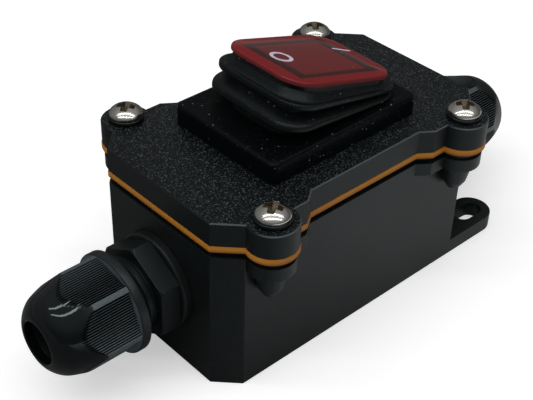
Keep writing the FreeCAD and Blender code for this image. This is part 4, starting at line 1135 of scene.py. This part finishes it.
def place_on_side(work, side):
    """Swing a gland piece built along +X to its own end of the box, at the gland's height."""
    if side == "left":
        half_turn = Matrix.Rotation(math.pi, 3, "Z")
        bmesh.ops.rotate(work, verts=work.verts, cent=(0, 0, 0), matrix=half_turn)
    bmesh.ops.translate(work, verts=work.verts, vec=(0, 0, gland_middle))


def gland_nut(side, material):
    """The dome nut, with the bottoms of its ribs as material 1, painted shade, and their crests as
    material 2, a painted highlight.
    """
    angles = nut_angles()
    work = spun([math.radians(a) for a in angles], [nut_outline(a) for a in angles],
                axis_x=True, weld=0.2 * WELD)
    for face in work.faces:
        middle = face.calc_center_median()
        radius = math.hypot(middle.y, middle.z)
        turn = math.degrees(math.atan2(middle.z, middle.y))
        crest = min(GRIP_APOTHEM / math.cos(from_flat(turn)), GRIP_CORNER)
        domed = dome_radius(middle.x)
        if RING_END < middle.x < CREST_END and radius > NUT_BORE:
            if min(crest, domed) - radius > GROOVE_START:
                face.material_index = 1
            elif crest < domed:
                face.material_index = 2
    place_on_side(work, side)
    return built("dome_nut_" + side, work, material, 32)


def gland_thread(side, material):
    """The ridge of the outer thread, wound round the body between hex and claws."""
    work = bmesh.new()
    last = (THREAD_END - HEX_END - THREAD_PITCH) / THREAD_PITCH * THREAD_STEPS
    rows = []
    for n in range(int(last) + 1):
        turn = 2 * math.pi * n / THREAD_STEPS
        start = HEX_END + THREAD_PITCH * (0.5 + n / THREAD_STEPS)
        crest = THREAD_HEIGHT * min(1.0, n / THREAD_FADE, (last - n) / THREAD_FADE)
        row = []
        for shift, height in ((-0.45, -THREAD_SINK), (0, crest), (0.45, -THREAD_SINK)):
            radius = THREAD_RADIUS + height
            row.append(work.verts.new((start + shift * THREAD_PITCH, radius * math.cos(turn),
                                       radius * math.sin(turn))))
        rows.append(row)
    tube(work, rows)
    place_on_side(work, side)
    return built("gland_thread_" + side, work, material)


nut_nylon = dome_nylon()
for side in ("left", "right"):
    body = softened("gland_body_" + side, "gland_hex_" + side, gland_nylon, GLAND_EDGE)
    seated(body, "root", "gland_nylon", "gland_body_" + side)
    thread = gland_thread(side, gland_nylon)
    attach(thread, "root")
    washer = softened("gland_washer_" + side, "gland_flat_washer_" + side, seal_rubber, GLAND_EDGE)
    seated(washer, "root", "seal_rubber", "gland_washer_" + side)
    nut = gland_nut(side, nut_nylon)
    nut.data.materials.append(shaded_groove_nylon)
    nut.data.materials.append(highlit_crest_nylon)
    seated(nut, side + "_nut", "gland_nylon", "gland_nut_" + side)
    finish(gland_nylon, "gland_locknut_" + side)
    finish(seal_rubber, "gland_seal_" + side)


# Floor
# A plain white table that runs on past the view. It shows as white paper and keeps the part's
# soft shadow.

FLOOR_HALF = 6.0


def floor_paper():
    """White paper with a little glow for the eye, and painted shade where the part mirrors it."""
    material, tree = blank_material("floor_paper", specular=0.0)
    rays = add(tree, "LightPath").outputs
    place = add(tree, "NewGeometry").outputs["Position"]
    # Painted shade in the floor that the part mirrors: mirror rays see it darker towards the
    # camera's left, and behind the part except beyond its -X end.
    dimming = ramp(tree, reach(tree, place, (0.733, -0.680, 0.0)), -0.02, 0.045, 0.16, 0.80)
    behind = ramp(tree, component(tree, place, "Y"), -0.02, 0.01, 1.0, 0.2)
    left = ramp(tree, component(tree, place, "X"), -0.02, 0.03, 1.0, 0.0)
    mirrored_painted_shade = maths(tree, "MULTIPLY", dimming, maths(tree, "MAXIMUM", behind, left))
    coated(material, {
        "Base Color": mixed(tree, rays["Is Glossy Ray"], 0.8, mirrored_painted_shade, "FLOAT"),
        "Roughness": 0.9})
    eye = maths(tree, "MAXIMUM", rays["Is Camera Ray"], rays["Is Transmission Ray"])
    glow = add(tree, "Emission", {"Strength": maths(tree, "MULTIPLY", eye, 0.42)})
    paper = tree.nodes["Principled BSDF"].outputs[0]
    total = add(tree, "AddShader", {0: paper, 1: glow.outputs[0]})
    fed(tree, tree.nodes["Material Output"], {"Surface": total.outputs[0]})
    return material


floor_mesh = bpy.data.meshes.new("floor")
corners = [(sx * FLOOR_HALF, sy * FLOOR_HALF, 0) for sx, sy in ((-1, -1), (1, -1), (1, 1), (-1, 1))]
floor_mesh.from_pydata(corners, [], [(0, 1, 2, 3)])
floor = mesh_object("floor", floor_mesh, floor_paper())


# Studio light
# Two long strip lights straight overhead, a wide soft light behind the camera, and a room that
# is white to the eye but dims from its horizon to its ceiling where the part mirrors it.

CAMERA_AZIMUTH = math.radians(-42.836)
CAMERA_ELEVATION = math.radians(37.004)
STRIP_LENGTH = 1.3
STRIP_WIDTH = 0.055
STRIP_HEIGHT = 0.75
STRIP_PLACES = (0.05, 0.32)
STRIP_POWER = 1.5
SOFT_SIZE = 1.0
SOFT_POWER = 2.4
SOFT_PLACE = (0.55, -0.5, 0.7)

to_camera = Vector((math.sin(CAMERA_AZIMUTH) * math.cos(CAMERA_ELEVATION),
                    -math.cos(CAMERA_AZIMUTH) * math.cos(CAMERA_ELEVATION),
                    math.sin(CAMERA_ELEVATION)))


def area_light(name, place, target, length, width, power, turn=0.0):
    lamp = bpy.data.lights.new(name, "AREA")
    lamp.shape = "RECTANGLE"
    lamp.size, lamp.size_y = length, width
    lamp.energy = power
    holder = in_scene(name, lamp)
    aim = (Vector(target) - Vector(place)).to_track_quat("-Z", "Y").to_matrix().to_4x4()
    holder.matrix_world = Matrix.Translation(place) @ Matrix.Rotation(turn, 4, "Z") @ aim
    return holder


across = Vector((math.cos(CAMERA_AZIMUTH), math.sin(CAMERA_AZIMUTH), 0))
towards = Vector((to_camera.x, to_camera.y, 0)).normalized()
for place in STRIP_PLACES:
    spot = towards * place + Vector((0, 0, STRIP_HEIGHT))
    area_light("strip_light", spot, spot - Vector((0, 0, 1)), STRIP_LENGTH, STRIP_WIDTH,
               STRIP_POWER, CAMERA_AZIMUTH)
soft_spot = towards * SOFT_PLACE[0] + across * SOFT_PLACE[1] + Vector((0, 0, SOFT_PLACE[2]))
soft = area_light("soft_light", soft_spot, (0, 0, 0.03), SOFT_SIZE, SOFT_SIZE, SOFT_POWER)
soft.visible_glossy = False

# Grey of the room as the part mirrors it, at places from the horizon (0) to the ceiling (1)
ROOM_GREYS = ((0.0, 0.2), (0.02, 0.10), (0.3, 0.10), (0.5, 0.22), (0.75, 0.34), (1.0, 0.36))
WINDOW_WAY = (-0.2345, 0.4104, -0.8813)
AMBIENT = 0.40

world = bpy.data.worlds.new("room")
bpy.context.scene.world = world
world.use_nodes = True
sky = world.node_tree
rays = add(sky, "LightPath").outputs
way = add(sky, "TexCoord").outputs["Generated"]
greys = [(place, (grey,) * 3) for place, grey in ROOM_GREYS]
room = colour_band(sky, component(sky, way, "Z"), greys)
pane = ramp(sky, reach(sky, way, WINDOW_WAY), -0.0015, 0.0015, 0.0, 0.09)
hazed = mixed(sky, 1.0, room, pane, blend_type="ADD")
glassy = maths(sky, "MAXIMUM", rays["Is Glossy Ray"], rays["Is Transmission Ray"])
ambient = mixed(sky, glassy, (AMBIENT,) * 3, hazed)
shown = mixed(sky, rays["Is Camera Ray"], ambient, (1, 1, 1))
fed(sky, sky.nodes["Background"], {"Color": shown})


# Camera
# A phone-like view down on the near left corner, fitted to the edges of the box.

CAMERA_PLACE = Vector((-154.8, -154.0, 185.5)) * MM
CAMERA_ROLL = math.radians(1.457)
FOCAL_PIXELS = 1117.43
PHOTO_WIDTH = 533
SENSOR = 36.0
LENS_SHIFT = (0.0199, 0.0015)

level_up = to_camera.cross(across)
c, s = math.cos(CAMERA_ROLL), math.sin(CAMERA_ROLL)
right, up = across * c + level_up * s, level_up * c - across * s
lens = bpy.data.cameras.new("camera")
lens.sensor_width = SENSOR
lens.lens = FOCAL_PIXELS / PHOTO_WIDTH * SENSOR
lens.shift_x, lens.shift_y = LENS_SHIFT
lens.clip_start, lens.clip_end = 0.01, 50
camera = in_scene("camera", lens)
facing = Matrix((right, up, to_camera)).transposed().to_4x4()
camera.matrix_world = Matrix.Translation(CAMERA_PLACE) @ facing
bpy.context.scene.camera = camera
bpy.context.scene.view_settings.view_transform = "Standard"
